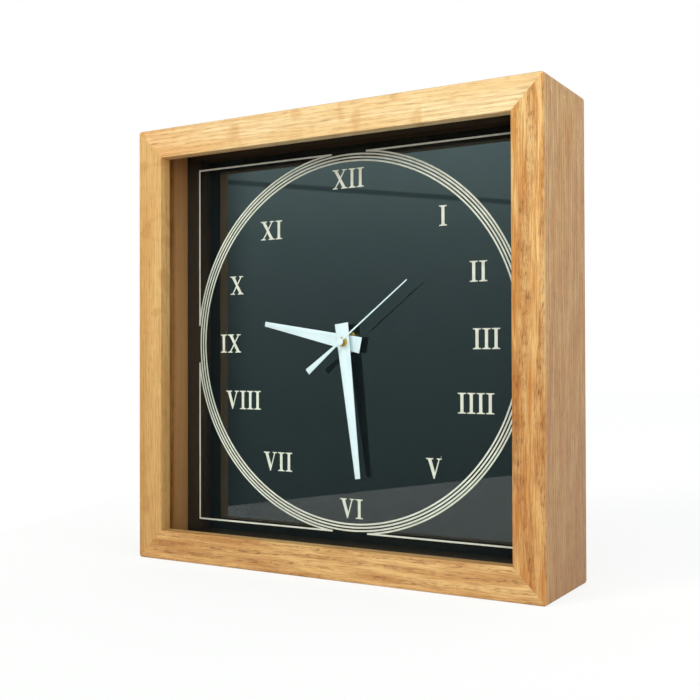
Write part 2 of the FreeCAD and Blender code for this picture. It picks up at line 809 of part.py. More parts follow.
def train(axes, phase):
    over = size("leaf_over")
    thick = size("wheel_thick")
    thin = size("arbor_radius")
    third_module = module_for(size("train_distance"), teeth("seconds_pinion"), teeth("third_wheel"))
    centre_module = module_for(size("train_distance"), teeth("third_pinion"), teeth("centre_wheel"))
    seconds_module = module_for(size("seconds_distance"), teeth("seconds_wheel"), teeth("inter_pinion"))
    rotor_module = module_for(size("rotor_distance"), teeth("inter_wheel"), teeth("rotor_pinion"))
    cannon_module = module_for(size("setting_distance"), teeth("cannon_pinion"), teeth("setting_wheel"))
    hour_module = module_for(size("setting_distance"), teeth("setting_pinion"), teeth("hour_wheel"))

    def disc(name, module, front, back, turn, wheel=True):
        return toothed(teeth(name), module, wheel, front, back, turn)

    front = size("seconds_front")
    seconds = disc("seconds_wheel", seconds_module, front, front + thick, phase["seconds"])
    wheel_part("seconds_wheel", axes["centre"], [
        seconds,
        disc("seconds_pinion", third_module, size("third_front") - over, front, phase["seconds"], False),
    ], rod(thin, size("third_front") - 1, front + thick + 1))
    keep(feature_from("seconds_arbor", rod(thin, size("second_seat"), size("pivot_back"),
                                           0, size("half"))), "seconds_arbor")

    front = size("third_front")
    third = disc("third_wheel", third_module, front, front + thick, phase["third"])
    wheel_part("third_wheel", axes["third"], [
        third,
        disc("third_pinion", centre_module, size("centre_front") - over,
             size("centre_front") + thick + over, phase["third"], False),
        rod(thin, size("pivot_front"), size("pivot_back")),
    ])

    front = size("centre_front")
    centre = disc("centre_wheel", centre_module, front, front + thick, phase["centre"])
    wheel_part("centre_wheel", axes["centre"], [centre],
               rod(size("minute_tube") + size("run_gap"), front - 1, front + thick + 1))

    front = size("inter_front")
    inter = disc("inter_wheel", rotor_module, front, front + thick, phase["inter"])
    wheel_part("intermediate_wheel", axes["inter"], [
        inter,
        disc("inter_pinion", seconds_module, size("seconds_front") - over, front, phase["inter"], False),
        rod(thin, size("train_back") - size("pivot_depth"), size("pivot_back")),
    ])

    front = size("magnet_front")
    wheel_part("rotor_pinion", axes["rotor"], [
        disc("rotor_pinion", rotor_module, size("inter_front") - over, front, phase["rotor"], False),
        rod(thin, size("train_back") - size("pivot_depth"), size("pivot_back")),
    ])
    magnet = rod(size("magnet_radius"), front, front + size("magnet_thick"))
    hole = rod(thin, front - 1, front + size("magnet_thick") + 1)
    wheel_part("rotor_magnet", axes["rotor"], [magnet], hole)

    front = size("cannon_front")
    setting = disc("setting_wheel", cannon_module, front, front + thick, phase["setting"])
    wheel_part("setting_wheel", axes["setting"], [
        setting,
        disc("setting_pinion", hour_module, size("hour_front") - over, front, phase["setting"], False),
    ], rod(size("stud_radius") + size("run_gap"), size("hour_front") - 1, front + thick + 1))

    front = size("hour_front")
    bore = size("minute_tube") + size("run_gap")
    tube = size("hour_tube")
    wheel_part("hour_wheel", axes["centre"], [
        disc("hour_wheel", hour_module, front, front + thick, phase["hour"]),
        rod(tube, size("hour_face") - size("tube_stand"), front),
    ], rod(bore, size("hour_face") - 1, front + thick + 1))

    front = size("cannon_front")
    tube = size("minute_tube")
    wheel_part("minute_arbor", axes["centre"], [
        disc("cannon_pinion", cannon_module, front - over, front + thick + over, phase["cannon"], False),
        rod(tube, size("minute_seat"), size("centre_front") + thick + size("play") / 2),
        rod(tube - size("tube_step"), size("minute_face") - size("thread_stand"), size("minute_seat")),
    ], rod(thin + size("run_gap"), size("minute_face") - 2, size("train_front") + 1))
    return cannon_module


# The setting knob.


def knob(axes, phase, module):
    """A fluted knob behind the case, on an arbor that carries a pinion in mesh with the setting wheel."""
    x, z = axes["knob"]
    over = size("leaf_over")
    front = size("cannon_front")
    wheel_part("setting_pinion", axes["knob"], [
        toothed(teeth("knob_pinion"), module, False, front - over, front + size("wheel_thick") + over,
                phase["knob"]),
        rod(size("knob_arbor"), size("pivot_front"), size("case_back") + size("play")),
    ])
    body = new_body("setting_knob")
    sketch = polygon(new_sketch(body, "XY_Plane"), [
        ("0", "case_back + play"),
        ("knob_radius", "case_back + play"),
        ("knob_radius", "case_back + play + knob_thick"),
        ("0", "case_back + play + knob_thick"),
    ])
    turning = body.newObject("PartDesign::Revolution", "setting_knob_turn")
    turning.Profile = sketch
    turning.ReferenceAxis = (sketch, ["V_Axis"])
    turning.Angle = 360.0
    doc.recompute()
    flute = polygon(new_sketch(body, "XZ_Plane"), [
        ("knob_radius - flute_depth", "0"),
        ("knob_radius + flute_depth", "-2 * flute_depth"),
        ("knob_radius + flute_depth", "2 * flute_depth"),
    ])
    cut = pocket(body, flute, "case_back + play + knob_thick + 1")
    pattern = body.newObject("PartDesign::PolarPattern", "flutes")
    pattern.Originals = [cut]
    pattern.Axis = (flute, ["N_Axis"])
    pattern.Angle = 360.0
    pattern.Occurrences = 12
    body.Tip = pattern
    doc.recompute()
    body.Placement = FreeCAD.Placement(FreeCAD.Vector(x, 0, z), FreeCAD.Rotation())
    keep(body, "setting_knob")


# The movement's case and what stands in it.


def case_front_shell(axes):
    """A tray with two rooms, one for the train and one for the cell, both open to the rear."""
    body = new_body("case_blank")
    sketch = new_sketch(body, "XZ_Plane", "-case_front")
    rectangle(sketch, "-case_half", "case_bottom", "case_half", "case_top")
    pad(body, sketch, "case_depth", reverse=True)
    fillet(body, "case_corner", lambda edge: abs(edge.Length - size("case_depth")) < 0.01)
    room = new_sketch(body, "XZ_Plane", "-case_inside")
    rectangle(room, "-inner_half", "train_bottom", "inner_half", "train_top")
    pocket(body, room, "case_depth")
    bay = new_sketch(body, "XZ_Plane", "-case_inside")
    rectangle(bay, "-inner_half", "bay_bottom", "inner_half", "bay_top")
    pocket(body, bay, "case_depth")
    lid = new_sketch(body, "XZ_Plane", "-cover_inside")
    rectangle(lid, "-case_half - 1", "bay_top", "case_half + 1", "case_top + 1")
    pocket(body, lid, "case_depth")
    thumb = circle(new_sketch(body, "XZ_Plane", "-case_inside - thumb_depth"),
                   "0", "case_bottom - thumb_drop", "thumb_radius")
    pocket(body, thumb, "case_depth")

    neck = rod(size("bush_radius"), size("case_front") - 1, size("case_inside") + 1, 0, size("half"))
    cuts = [neck]
    thin = size("arbor_radius") + size("run_gap")
    cuts.append(rod(thin, size("pivot_front"), size("case_inside") + 1, *axes["third"]))
    knob_hole = size("knob_arbor") + size("run_gap")
    cuts.append(rod(knob_hole, size("pivot_front"), size("case_inside") + 1, *axes["knob"]))
    posts = [post(size("case_inside"), size("train_front"), x, z) for x, z in post_places()]
    posts.append(rod(size("stud_radius"), size("case_inside"),
                     size("cannon_front") + size("wheel_thick"), *axes["setting"]))
    shell = body.Shape.fuse(posts).cut(cuts).removeSplitter()
    keep(feature_from("case_front", shell), "movement_case_front")


def post_places():
    across = size("post_right")
    return [(x, z) for x in (-across, across) for z in (size("post_low"), size("post_high"))]


def post(front, back, x, z, share=1.0):
    """A square moulded post from front to back."""
    reach = share * size("post_reach")
    return Part.makeBox(2 * reach, back - front, 2 * reach, FreeCAD.Vector(x - reach, front, z - reach))


def stator_posts(axes):
    x, z = axes["rotor"]
    arm = size("stator_width") / 2 - size("stator_arm") / 2
    high = z + size("stator_post_rise")
    return [(x - arm, high), (x + arm, high), (x + arm, z - size("stator_post_drop"))]


def case_cover(axes):
    """The cover over the train, with posts that clamp the train plate and carry the stator."""
    body = new_body("cover_blank")
    sketch = new_sketch(body, "XZ_Plane", "-cover_inside")
    rectangle(sketch, "-case_half", "bay_top", "case_half", "case_top")
    pad(body, sketch, "case_wall", reverse=True)
    top = size("case_top")
    fillet(body, "case_corner", lambda edge: abs(edge.Length - size("case_wall")) < 0.01
           and abs(edge.CenterOfMass.z - top) < 0.01)
    posts = [post(size("train_back"), size("cover_inside"), x, z) for x, z in post_places()]
    posts += [post(size("stator_back"), size("cover_inside"), x, z, 0.7) for x, z in stator_posts(axes)]
    gap = size("run_gap")
    thin = size("arbor_radius") + gap
    cuts = [rod(thin, size("cover_inside") - 1, size("pivot_back"), *axes[name])
            for name in ("centre", "third", "inter", "rotor")]
    cuts.append(rod(size("knob_arbor") + gap, size("cover_inside") - 1, size("case_back") + 1,
                    *axes["knob"]))
    shell = body.Shape.fuse(posts).cut(cuts).removeSplitter()
    keep(feature_from("case_cover", shell), "movement_cover")


def train_plate(axes):
    """The plate between the slow and the fast side of the train, held between two sets of posts."""
    blank = slab("train_plate_blank", "2 * inner_half - 2 * plate_gap", "train_thick",
                 "train_top - train_bottom - 2 * plate_gap", "-inner_half + plate_gap", "train_front",
                 "train_bottom + plate_gap")
    doc.recompute()
    front = size("train_front") - 1
    back = size("train_back") + 1
    gap = size("run_gap")
    thin = size("arbor_radius") + gap
    holes = [rod(thin, front, back, *axes[name]) for name in ("centre", "third")]
    holes += [rod(thin, size("train_back") - size("pivot_depth"), back, *axes[name])
              for name in ("inter", "rotor")]
    holes.append(rod(size("knob_arbor") + gap, front, back, *axes["knob"]))
    tool = feature_from("train_plate_holes", Part.makeCompound(holes))
    drilled("train_plate", blank, tool)


def stator(axes):
    """A U of soft iron: a band round the magnet and two arms up to the coil's core."""
    x, z = axes["rotor"]
    half = size("stator_width") / 2
    arm = size("stator_arm")
    band = size("stator_band")
    top = size("coil_rise") + size("stator_lip")
    front = size("stator_front")
    thick = size("stator_thick")
    outline = [(-half, -band), (half, -band), (half, top), (half - arm, top), (half - arm, band),
               (arm - half, band), (arm - half, top), (-half, top)]
    points = [FreeCAD.Vector(x + across, front, z + up) for across, up in outline]
    plate = Part.Face(Part.makePolygon(points + points[:1])).extrude(FreeCAD.Vector(0, thick, 0))
    hole = rod(size("magnet_radius") + size("stator_gap"), front - 1, front + thick + 1, x, z)
    notches = []
    for side in (-1, 1):
        middle = FreeCAD.Vector(x + side * size("notch_offset"), front, z - side * size("notch_offset"))
        notches.append(centred_block(size("notch_size"), thick, size("notch_size"), middle))
    keep(feature_from("stator", plate.cut([hole] + notches)), "stator")


def coil(axes):
    """The core joins the stator's arms, the bobbin slides over it, and the winding fills the bobbin."""
    x, z = axes["rotor"]
    middle_z = z + size("coil_rise")
    middle_y = size("core_front") + size("stator_thick") / 2
    half = size("coil_length") / 2
    radius = size("coil_radius")
    flange = size("flange_thick")

    def barrel(outer, start, end):
        solid = Part.makeCylinder(outer, end - start, FreeCAD.Vector(x + start, middle_y, middle_z),
                                  FreeCAD.Vector(1, 0, 0))
        return solid

    def bar(length):
        corner = FreeCAD.Vector(x - length / 2, size("core_front"), middle_z - size("core_height") / 2)
        return Part.makeBox(length, size("stator_thick"), size("core_height"), corner)

    def block(reach, start, end):
        return Part.makeBox(end - start, 2 * reach, 2 * reach,
                            FreeCAD.Vector(x + start, middle_y - reach, middle_z - reach))

    keep(feature_from("coil_core", bar(size("stator_width"))), "coil_core")
    tube = block(size("bobbin_half"), -half, half)
    ends = [block(radius, -half, flange - half), block(radius, half - flange, half)]
    keep(feature_from("coil_bobbin", tube.fuse(ends).cut(bar(4 * half)).removeSplitter()), "coil_bobbin")
    winding = barrel(radius - size("winding_margin"), flange - half, half - flange).cut(tube)
    keep(feature_from("coil_winding", winding), "coil_winding")


def circuit():
    """The timing board on the train plate, with its chip and its crystal can."""
    keep(slab("circuit_board", "circuit_length", "circuit_thick", "circuit_height",
              "circuit_left", "train_back", "circuit_bottom"), "circuit_board")
    back = size("train_back") + size("circuit_thick")
    left = size("circuit_left")
    middle = size("circuit_bottom") + size("circuit_height") / 2
    chip = size("chip_size")
    chip_middle = FreeCAD.Vector(left + size("chip_left") + chip / 2, back, middle)
    chip_block = centred_block(chip, size("chip_thick"), chip, chip_middle)
    keep(feature_from("timing_chip", chip_block), "timing_chip")
    left += size("crystal_left")
    middle += size("crystal_rise")
    radius = size("crystal_radius")
    length = size("crystal_length")
    can = Part.makeCylinder(radius, length, FreeCAD.Vector(left, back + radius, middle),
                            FreeCAD.Vector(1, 0, 0))
    foot = Part.makeBox(length, radius, radius, FreeCAD.Vector(left, back, middle - radius / 2))
    keep(feature_from("quartz_crystal", can.fuse(foot).removeSplitter()), "quartz_crystal")


def cell():
    """A round cell lying across the bay, with its button to the right."""
    body = new_body("battery_cell")
    end = "cell_length / 2"
    sketch = polygon(new_sketch(body, "XY_Plane"), [
        ("-cell_length / 2 - cell_button / 2", "0"),
        ("cell_length / 2 + cell_button / 2", "0"),
        ("cell_length / 2 + cell_button / 2", "button_radius"),
        (end + " - cell_button / 2", "button_radius"),
        (end + " - cell_button / 2", "cell_radius"),
        ("-cell_length / 2 - cell_button / 2", "cell_radius"),
    ])
    feature = body.newObject("PartDesign::Revolution", "battery_cell_turn")
    feature.Profile = sketch
    feature.ReferenceAxis = (sketch, ["H_Axis"])
    feature.Angle = 360.0
    doc.recompute()
    keep(place(body, "0", "cell_depth", "cell_height"), "battery_cell")


def contacts():
    """A dimpled plate at the button's end, and at the other a plate with its spring pressed shut."""
    y = size("cell_depth")
    z = size("cell_height")
    plate = size("contact_thick")
    wide = size("contact_width")
    seat = size("contact_half")
    reach = size("cell_length") / 2 + size("cell_button") / 2

    def sheet(low_x):
        return Part.makeBox(plate, wide, wide, FreeCAD.Vector(low_x, y - wide / 2, z - wide / 2))

    bump = size("dimple_size")
    dimple = Part.makeBox(seat - reach, bump, bump, FreeCAD.Vector(reach, y - bump / 2, z - bump / 2))
    keep(feature_from("contact_positive", sheet(seat).fuse(dimple).removeSplitter()), "contact_positive")
    spring = Part.makeCylinder(size("spring_radius"), seat - reach, FreeCAD.Vector(-seat, y, z),
                               FreeCAD.Vector(1, 0, 0))
    keep(feature_from("contact_negative", sheet(-seat - plate).fuse(spring)), "contact_negative")


# The hands.


def tapered_hand(name, seat, length, tail, wide, tip, hole, angle):
    """A flat hand that tapers from its square tail to its square tip."""
    body = new_body(name)
    sketch = polygon(new_sketch(body, "XZ_Plane"), [
        ("-" + wide + " / 2", "-" + tail),
        (wide + " / 2", "-" + tail),
        (tip + " / 2", length),
        ("-" + tip + " / 2", length),
    ])
    circle(sketch, "0", "0", hole)
    pad(body, sketch, "hand_thick")
    keep(place(body, "0", seat, "half", angle), name)


def second_hand():
    """A thin needle with a small round hub and a counterweight that widens to its square end."""
    body = new_body("second_hand")
    hub = circle(new_sketch(body, "XZ_Plane"), "0", "0", "second_hub")
    pad(body, hub, "hand_thick")
    needle = polygon(new_sketch(body, "XZ_Plane"), [
        ("-second_wide / 2", "0"),
        ("-weight_wide / 2", "-second_tail"),
        ("weight_wide / 2", "-second_tail"),
        ("second_wide / 2", "0"),
        ("second_tip / 2", "second_length"),
        ("-second_tip / 2", "second_length"),
    ])
    pad(body, needle, "hand_thick")
    keep(place(body, "0", "second_seat", "half", SECOND_ANGLE), "second_hand")
    keep(turned("second_sleeve", [
        ("arbor_radius + press_gap", "second_seat"),
        ("sleeve_radius", "second_seat"),
        ("sleeve_radius", "second_seat + sleeve_length"),
        ("arbor_radius + press_gap", "second_seat + sleeve_length"),
    ]), "second_sleeve")


def hands():
    tapered_hand("hour_hand", "hour_seat", "hour_length", "hour_tail", "hour_wide", "hour_tip",
                 "hour_tube + press_gap", HOUR_ANGLE)
    tapered_hand("minute_hand", "minute_seat", "minute_length", "minute_tail", "minute_wide", "minute_tip",
                 "minute_tube - tube_step + press_gap", MINUTE_ANGLE)
    keep(turned("minute_nut", [
        ("minute_tube - tube_step + press_gap", "minute_face - minute_nut_thick"),
        ("minute_nut_radius", "minute_face - minute_nut_thick"),
        ("minute_nut_radius", "minute_face"),
        ("minute_tube - tube_step + press_gap", "minute_face"),
    ]), "minute_nut")
    second_hand()


def build():
    fill_sheet()
    axes, phase = layout()
    holes = fixings()
    frame(holes)
    glazing()
    board("dial_face", "dial_front", "dial_thick")
    board("backing_board", "dial_back", "board_thick")
    strips(holes)
    hanger()
    bush()
    hex_nut()
    case_front_shell(axes)
    case_cover(axes)
    train_plate(axes)
    stator(axes)
    coil(axes)
    circuit()
    contacts()
    cell()
    module = train(axes, phase)
    knob(axes, phase, module)
    hands()
    doc.recompute()


def check():
    for item in doc.Objects:
        if "Invalid" in item.State or "Error" in item.State:
            raise RuntimeError("%s did not build: %s" % (item.Label, item.State))
    for item in PARTS:
        shape = item.Shape
        if shape.isNull() or not shape.isValid() or not shape.Solids:
            raise RuntimeError("%s has no valid solid" % item.Label)


def export():
    os.makedirs("parts", exist_ok=True)
    for item in PARTS:
        item.Shape.exportStep("parts/%s.step" % item.Label)
        print("%-20s %2d solid(s) %12.2f mm3" % (item.Label, len(item.Shape.Solids), item.Shape.Volume))
    print(len(PARTS), "parts")


build()
check()
export()
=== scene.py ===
"""A square oak box-frame wall clock with a glazed front and a dark dial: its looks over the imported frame."""

import json
import math
from contextlib import contextmanager

import bmesh
import bpy
from mathutils import Matrix, Vector

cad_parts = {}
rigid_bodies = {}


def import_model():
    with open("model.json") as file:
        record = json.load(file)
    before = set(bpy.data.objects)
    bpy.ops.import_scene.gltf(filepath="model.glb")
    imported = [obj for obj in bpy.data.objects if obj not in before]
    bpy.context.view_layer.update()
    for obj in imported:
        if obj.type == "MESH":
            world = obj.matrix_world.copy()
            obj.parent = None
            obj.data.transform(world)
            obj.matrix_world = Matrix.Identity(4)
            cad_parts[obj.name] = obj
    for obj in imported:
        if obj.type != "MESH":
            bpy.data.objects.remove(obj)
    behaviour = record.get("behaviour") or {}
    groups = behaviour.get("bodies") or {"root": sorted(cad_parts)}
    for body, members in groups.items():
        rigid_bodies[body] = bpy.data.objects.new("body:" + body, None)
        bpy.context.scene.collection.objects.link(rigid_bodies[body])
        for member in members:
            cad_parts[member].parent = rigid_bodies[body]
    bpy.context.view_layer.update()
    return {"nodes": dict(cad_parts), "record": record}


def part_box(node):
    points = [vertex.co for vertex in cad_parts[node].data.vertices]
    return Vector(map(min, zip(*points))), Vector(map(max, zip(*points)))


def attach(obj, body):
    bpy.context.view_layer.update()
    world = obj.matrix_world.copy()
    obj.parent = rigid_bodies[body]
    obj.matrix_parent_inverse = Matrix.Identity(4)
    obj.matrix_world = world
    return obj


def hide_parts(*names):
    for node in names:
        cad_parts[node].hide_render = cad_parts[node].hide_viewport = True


for leftover in list(bpy.data.objects):
    bpy.data.objects.remove(leftover)
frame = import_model()

bl_info = {
    "name": "Oak Box-Frame Wall Clock",
    "version": (1, 0, 0),
    "blender": (4, 5, 0),
    "location": "View3D > Sidebar > Clock",
    "description": "Models and finishes a square oak wall clock over its packed frame",
    "category": "Add Mesh",
}

MM = 0.001
BODY = "clock_body"

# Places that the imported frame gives.
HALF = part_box("frame_rail_right")[1].x
DEPTH_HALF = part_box("frame_rail_right")[1].y
MIDDLE = Vector((0, 0, HALF))
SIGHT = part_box("frame_rail_right")[0].x
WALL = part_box("spacer_right")[1].x
PANE_FRONT, PANE_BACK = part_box("glass_pane")[0].y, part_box("glass_pane")[1].y
DIAL_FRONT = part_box("dial_face")[0].y


# Selecting and shaping.


def only(obj):
    """Leave one object selected and active."""
    bpy.ops.object.select_all(action="DESELECT")
    obj.select_set(True)
    bpy.context.view_layer.objects.active = obj
    return obj


def start(maker, name, scale=(1, 1, 1), **where):
    """Add a primitive with nothing else selected, and settle its place into its mesh."""
    bpy.ops.object.select_all(action="DESELECT")
    maker(**where)
    obj = bpy.context.object
    obj.name = obj.data.name = name
    obj.scale = scale
    bpy.ops.object.transform_apply(location=True, rotation=True, scale=True)
    return obj


def block(name, low, high):
    """A cube stretched between two corners, ready to be shaped."""
    low, high = Vector(low), Vector(high)
    return start(bpy.ops.mesh.primitive_cube_add, name, size=1, location=(low + high) / 2, scale=high - low)


def barrel(name, radius, front, back, sides=96):
    """A cylinder about the hands' axis, ready to be shaped."""
    return start(bpy.ops.mesh.primitive_cylinder_add, name, vertices=sides, radius=radius, depth=back - front,
                 location=(0, (front + back) / 2, HALF), rotation=(math.pi / 2, 0, 0))


def plate(name, outline, front, back):
    """A flat plate with that outline in X and Z: an n-gon whose corners are pulled into place, then extruded."""
    obj = start(bpy.ops.mesh.primitive_circle_add, name, vertices=len(outline), radius=0.01, fill_type="NGON",
                rotation=(math.pi / 2, 0, 0))
    for corner, (x, z) in zip(obj.data.vertices, outline):
        corner.co = (x, front, z)
    with shaping(obj):
        bpy.ops.mesh.select_all(action="SELECT")
        push((0, back - front, 0))
        face_outwards()
    return obj


@contextmanager
def shaping(obj):
    """Edit mode on one object."""
    only(obj)
    bpy.ops.object.mode_set(mode="EDIT")
    yield obj
    bpy.ops.object.mode_set(mode="OBJECT")


def pick(obj, kind, test):
    """Select the vertices, edges or faces that pass a test, and nothing else."""
    bpy.ops.mesh.select_mode(type=kind)
    bpy.ops.mesh.select_all(action="DESELECT")
    mesh = bmesh.from_edit_mesh(obj.data)
    mesh.normal_update()
    found = [item for item in {"VERT": mesh.verts, "EDGE": mesh.edges, "FACE": mesh.faces}[kind] if test(item)]
    if not found:
        raise RuntimeError("nothing to select on " + obj.name)
    for item in found:
        item.select_set(True)
    mesh.select_flush_mode()
    bmesh.update_edit_mesh(obj.data)


def centre_of(item):
    """The middle of an edge's or a face's corners."""
    return sum((corner.co for corner in item.verts), Vector()) / len(item.verts)


def flat(normal):
    """Whether a face looks along the depth of the clock."""
    return abs(normal.y) > 0.9


def sideways(normal):
    """Whether a face looks away from the hands' axis."""
    return abs(normal.y) < 0.1


def between(edge, first, second):
    """Whether an edge parts a face that passes the first test from one that passes the second."""
    if len(edge.link_faces) != 2:
        return False
    one, other = (face.normal for face in edge.link_faces)
    return (first(one) and second(other)) or (first(other) and second(one))


def push(offset):
    """Extrude what is selected."""
    bpy.ops.mesh.extrude_region_move(TRANSFORM_OT_translate={"value": Vector(offset)})


def soften(width, segments=3):
    """Round the selected edges."""
    bpy.ops.mesh.bevel(offset=width, segments=segments, affect="EDGES", profile=0.5, clamp_overlap=True)


def face_outwards():
    """Merge what meets, and turn every face outwards."""
    bpy.ops.mesh.select_all(action="SELECT")
    bpy.ops.mesh.remove_doubles(threshold=1e-7)
    bpy.ops.mesh.normals_make_consistent(inside=False)


def slit(point, along):
    """Cut the faces along a plane, and leave both halves."""
    bpy.ops.mesh.select_all(action="SELECT")
    bpy.ops.mesh.bisect(plane_co=point, plane_no=along)


def slice_off(point, outward):
    """Cut away all that lies beyond a plane."""
    bpy.ops.mesh.select_all(action="SELECT")
    bpy.ops.mesh.bisect(plane_co=point, plane_no=Vector(outward).normalized(), clear_outer=True, use_fill=True)


def shaped_by(obj, kind, **settings):
    """Add a modifier and apply it."""
    only(obj)
    modifier = obj.modifiers.new(kind.title(), kind)
    for key, value in settings.items():
        setattr(modifier, key, value)
    bpy.ops.object.modifier_apply(modifier=modifier.name)


def rounded(obj, width, segments=2, angle=35):
    """Round every sharp edge."""
    shaped_by(obj, "BEVEL", width=width, segments=segments, limit_method="ANGLE",
              angle_limit=math.radians(angle), harden_normals=False)


def cut_by(obj, cutter, operation="DIFFERENCE"):
    """Cut one piece with another, and drop the cutter."""
    shaped_by(obj, "BOOLEAN", object=cutter, operation=operation, solver="EXACT")
    bpy.data.objects.remove(cutter)


def bored(obj, radius, front, back, sides=96):
    """Bore a hole about the hands' axis."""
    cut_by(obj, barrel("bore", radius, front - MM, back + MM, sides))


def copy_of(obj, name):
    """A copy with its own mesh."""
    only(obj)
    bpy.ops.object.duplicate()
    copy = bpy.context.object
    copy.name = copy.data.name = name
    return copy


def taken(node, name):
    """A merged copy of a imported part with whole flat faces, ready to be softened."""
    piece = copy_of(frame["nodes"][node], name)
    for key in [key for key in piece.keys() if key.startswith("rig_")]:
        del piece[key]
    with shaping(piece):
        bpy.ops.mesh.select_all(action="SELECT")
        bpy.ops.mesh.remove_doubles(threshold=1e-6)
        bpy.ops.mesh.dissolve_limited(angle_limit=math.radians(0.5))
        face_outwards()
    return piece


def moved(obj, offset):
    """Move a piece, as its own mesh."""
    only(obj)
    bpy.ops.transform.translate(value=Vector(offset))
    bpy.ops.object.transform_apply(location=True, rotation=True, scale=True)
    return obj


def turned(obj, angle, centre=None, axis="Y"):
    """Turn a piece about a line through a point, as its own mesh."""
    only(obj)
    spot = MIDDLE if centre is None else Vector(centre)
    about = Matrix.Translation(spot) @ Matrix.Rotation(angle, 4, axis) @ Matrix.Translation(-spot)
    obj.matrix_world = about @ obj.matrix_world
    bpy.ops.object.transform_apply(location=True, rotation=True, scale=True)
    return obj


def joined(objects, name):
    """One object from several."""
    bpy.ops.object.select_all(action="DESELECT")
    for obj in objects:
        obj.select_set(True)
    bpy.context.view_layer.objects.active = objects[0]
    bpy.ops.object.join()
    obj = bpy.context.object
    obj.name = obj.data.name = name
    return obj


def finished(obj, body, look, nodes=(), angle=35):
    """Smooth a piece, give it its finish, and let it ride."""
    only(obj)
    bpy.ops.object.transform_apply(location=True, rotation=True, scale=True)
    bpy.ops.object.shade_smooth_by_angle(angle=math.radians(angle))
    obj.data.materials.clear()
    obj.data.materials.append(finish(look))
    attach(obj, body)
    if nodes:
        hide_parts(*nodes)
    return obj


def eased(node, name, width, body, look, segments=2, angle=35):
    """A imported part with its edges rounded, and its finish."""
    piece = taken(node, name)
    rounded(piece, width, segments, angle)
    return finished(piece, body, look, [node])


# Finishes.


def tone(red, green, blue):
    """A colour as it is seen on a screen, from 0 to 255, as the shader wants it."""
    def straight(value):
        value /= 255
        return value / 12.92 if value <= 0.04045 else ((value + 0.055) / 1.055) ** 2.4
    return (straight(red), straight(green), straight(blue), 1.0)


class Nodes:
    """A node tree. Each method adds one node and gives back what it puts out."""

    def __init__(self, tree):
        self.tree = tree
        self.tree.nodes.clear()
        self.place = self.add("ShaderNodeTexCoord").outputs["Object"]

    def add(self, kind, inputs=None, **settings):
        """A node with these settings, and these inputs wired or set."""
        node = self.tree.nodes.new(kind)
        for key, value in settings.items():
            setattr(node, key, value)
        for key, value in (inputs or {}).items():
            self.wire(node.inputs[key], value)
        return node

    def wire(self, socket, value):
        """Link a socket to an output, or set it."""
        if isinstance(value, bpy.types.NodeSocket):
            self.tree.links.new(value, socket)
        else:
            socket.default_value = value

    def axes(self, vector=None):
        """A vector's X, Y and Z."""
        return self.add("ShaderNodeSeparateXYZ", {0: vector or self.place}).outputs

    def mapped(self, scale=(1, 1, 1), turn=(0, 0, 0), shift=(0, 0, 0), source=None):
        """Places stretched, turned and shifted."""
        return self.add("ShaderNodeMapping", {"Vector": source or self.place, "Scale": scale, "Rotation": turn,
                                              "Location": shift}).outputs["Vector"]

    def noise(self, vector, scale, detail=2.0, rough=0.5, colour=False):
        """Soft clouds."""
        node = self.add("ShaderNodeTexNoise", {"Vector": vector, "Scale": scale, "Detail": detail, "Roughness": rough})
        return node.outputs["Color" if colour else "Fac"]

    def sum(self, operation, first, second=0.0, third=0.0, clamp=False):
        """Arithmetic on numbers."""
        return self.add("ShaderNodeMath", {0: first, 1: second, 2: third}, operation=operation,
                        use_clamp=clamp).outputs[0]

    def vector(self, operation, first, second=(0, 0, 0), scale=1.0):
        """Arithmetic on vectors."""
        node = self.add("ShaderNodeVectorMath", {0: first, 1: second, 3: scale}, operation=operation)
        return node.outputs["Value" if operation in ("LENGTH", "DOT_PRODUCT") else "Vector"]

    def step(self, value, low, high, ends=(0.0, 1.0)):
        """A smooth rise from one end of a range to the other."""
        return self.add("ShaderNodeMapRange", {"Value": value, "From Min": low, "From Max": high, "To Min": ends[0],
                                               "To Max": ends[1]}, interpolation_type="SMOOTHSTEP").outputs["Result"]

    def mix(self, share, first, second, blend="MIX"):
        """Two colours mixed."""
        node = self.add("ShaderNodeMix", {"Factor": share}, data_type="RGBA", blend_type=blend)
        for name, colour in (("A", first), ("B", second)):
            self.wire(next(socket for socket in node.inputs if socket.name == name and socket.type == "RGBA"), colour)
        return next(socket for socket in node.outputs if socket.type == "RGBA")

    def bump(self, height, distance, strength):
        """The tilt that a height gives to a surface."""
        return self.add("ShaderNodeBump", {"Strength": strength, "Distance": distance,
                                           "Height": height}).outputs["Normal"]

    def blend(self, first, second, share=None):
        """Two shaders, added up or mixed by a share."""
        if share is None:
            node = self.add("ShaderNodeAddShader")
        else:
            node = self.add("ShaderNodeMixShader", {"Fac": share})
        self.wire(node.inputs[-2], first.outputs[0])
        self.wire(node.inputs[-1], second.outputs[0])
        return node


class Finish(Nodes):
    """A material of nodes."""

    def __init__(self, name):
        self.material = bpy.data.materials.new(name)
        self.material.use_nodes = True
        super().__init__(self.material.node_tree)
        self.output = self.add("ShaderNodeOutputMaterial")

    def shown(self, shader):
        """The material, with its last shader wired to the output."""
        self.wire(self.output.inputs["Surface"], shader.outputs[0])
        return self.material

    def surface(self, colour, roughness, normal=None, **inputs):
        """The material with an ordinary surface."""
        shader = self.add("ShaderNodeBsdfPrincipled", {"Base Color": colour, "Roughness": roughness})
        if normal is not None:
            self.wire(shader.inputs["Normal"], normal)
        for key, value in inputs.items():
            self.wire(shader.inputs[key.replace("_", " ")], value)
        return self.shown(shader)


# the pale grey of the frame's outer faces: bare side grain with a painted sheen for the grazing reflection of the room
BARE_AND_SHEEN = (156, 122, 90)
ALONG = {"x": (0, -math.pi / 2, 0), "z": (0, 0, 0)}


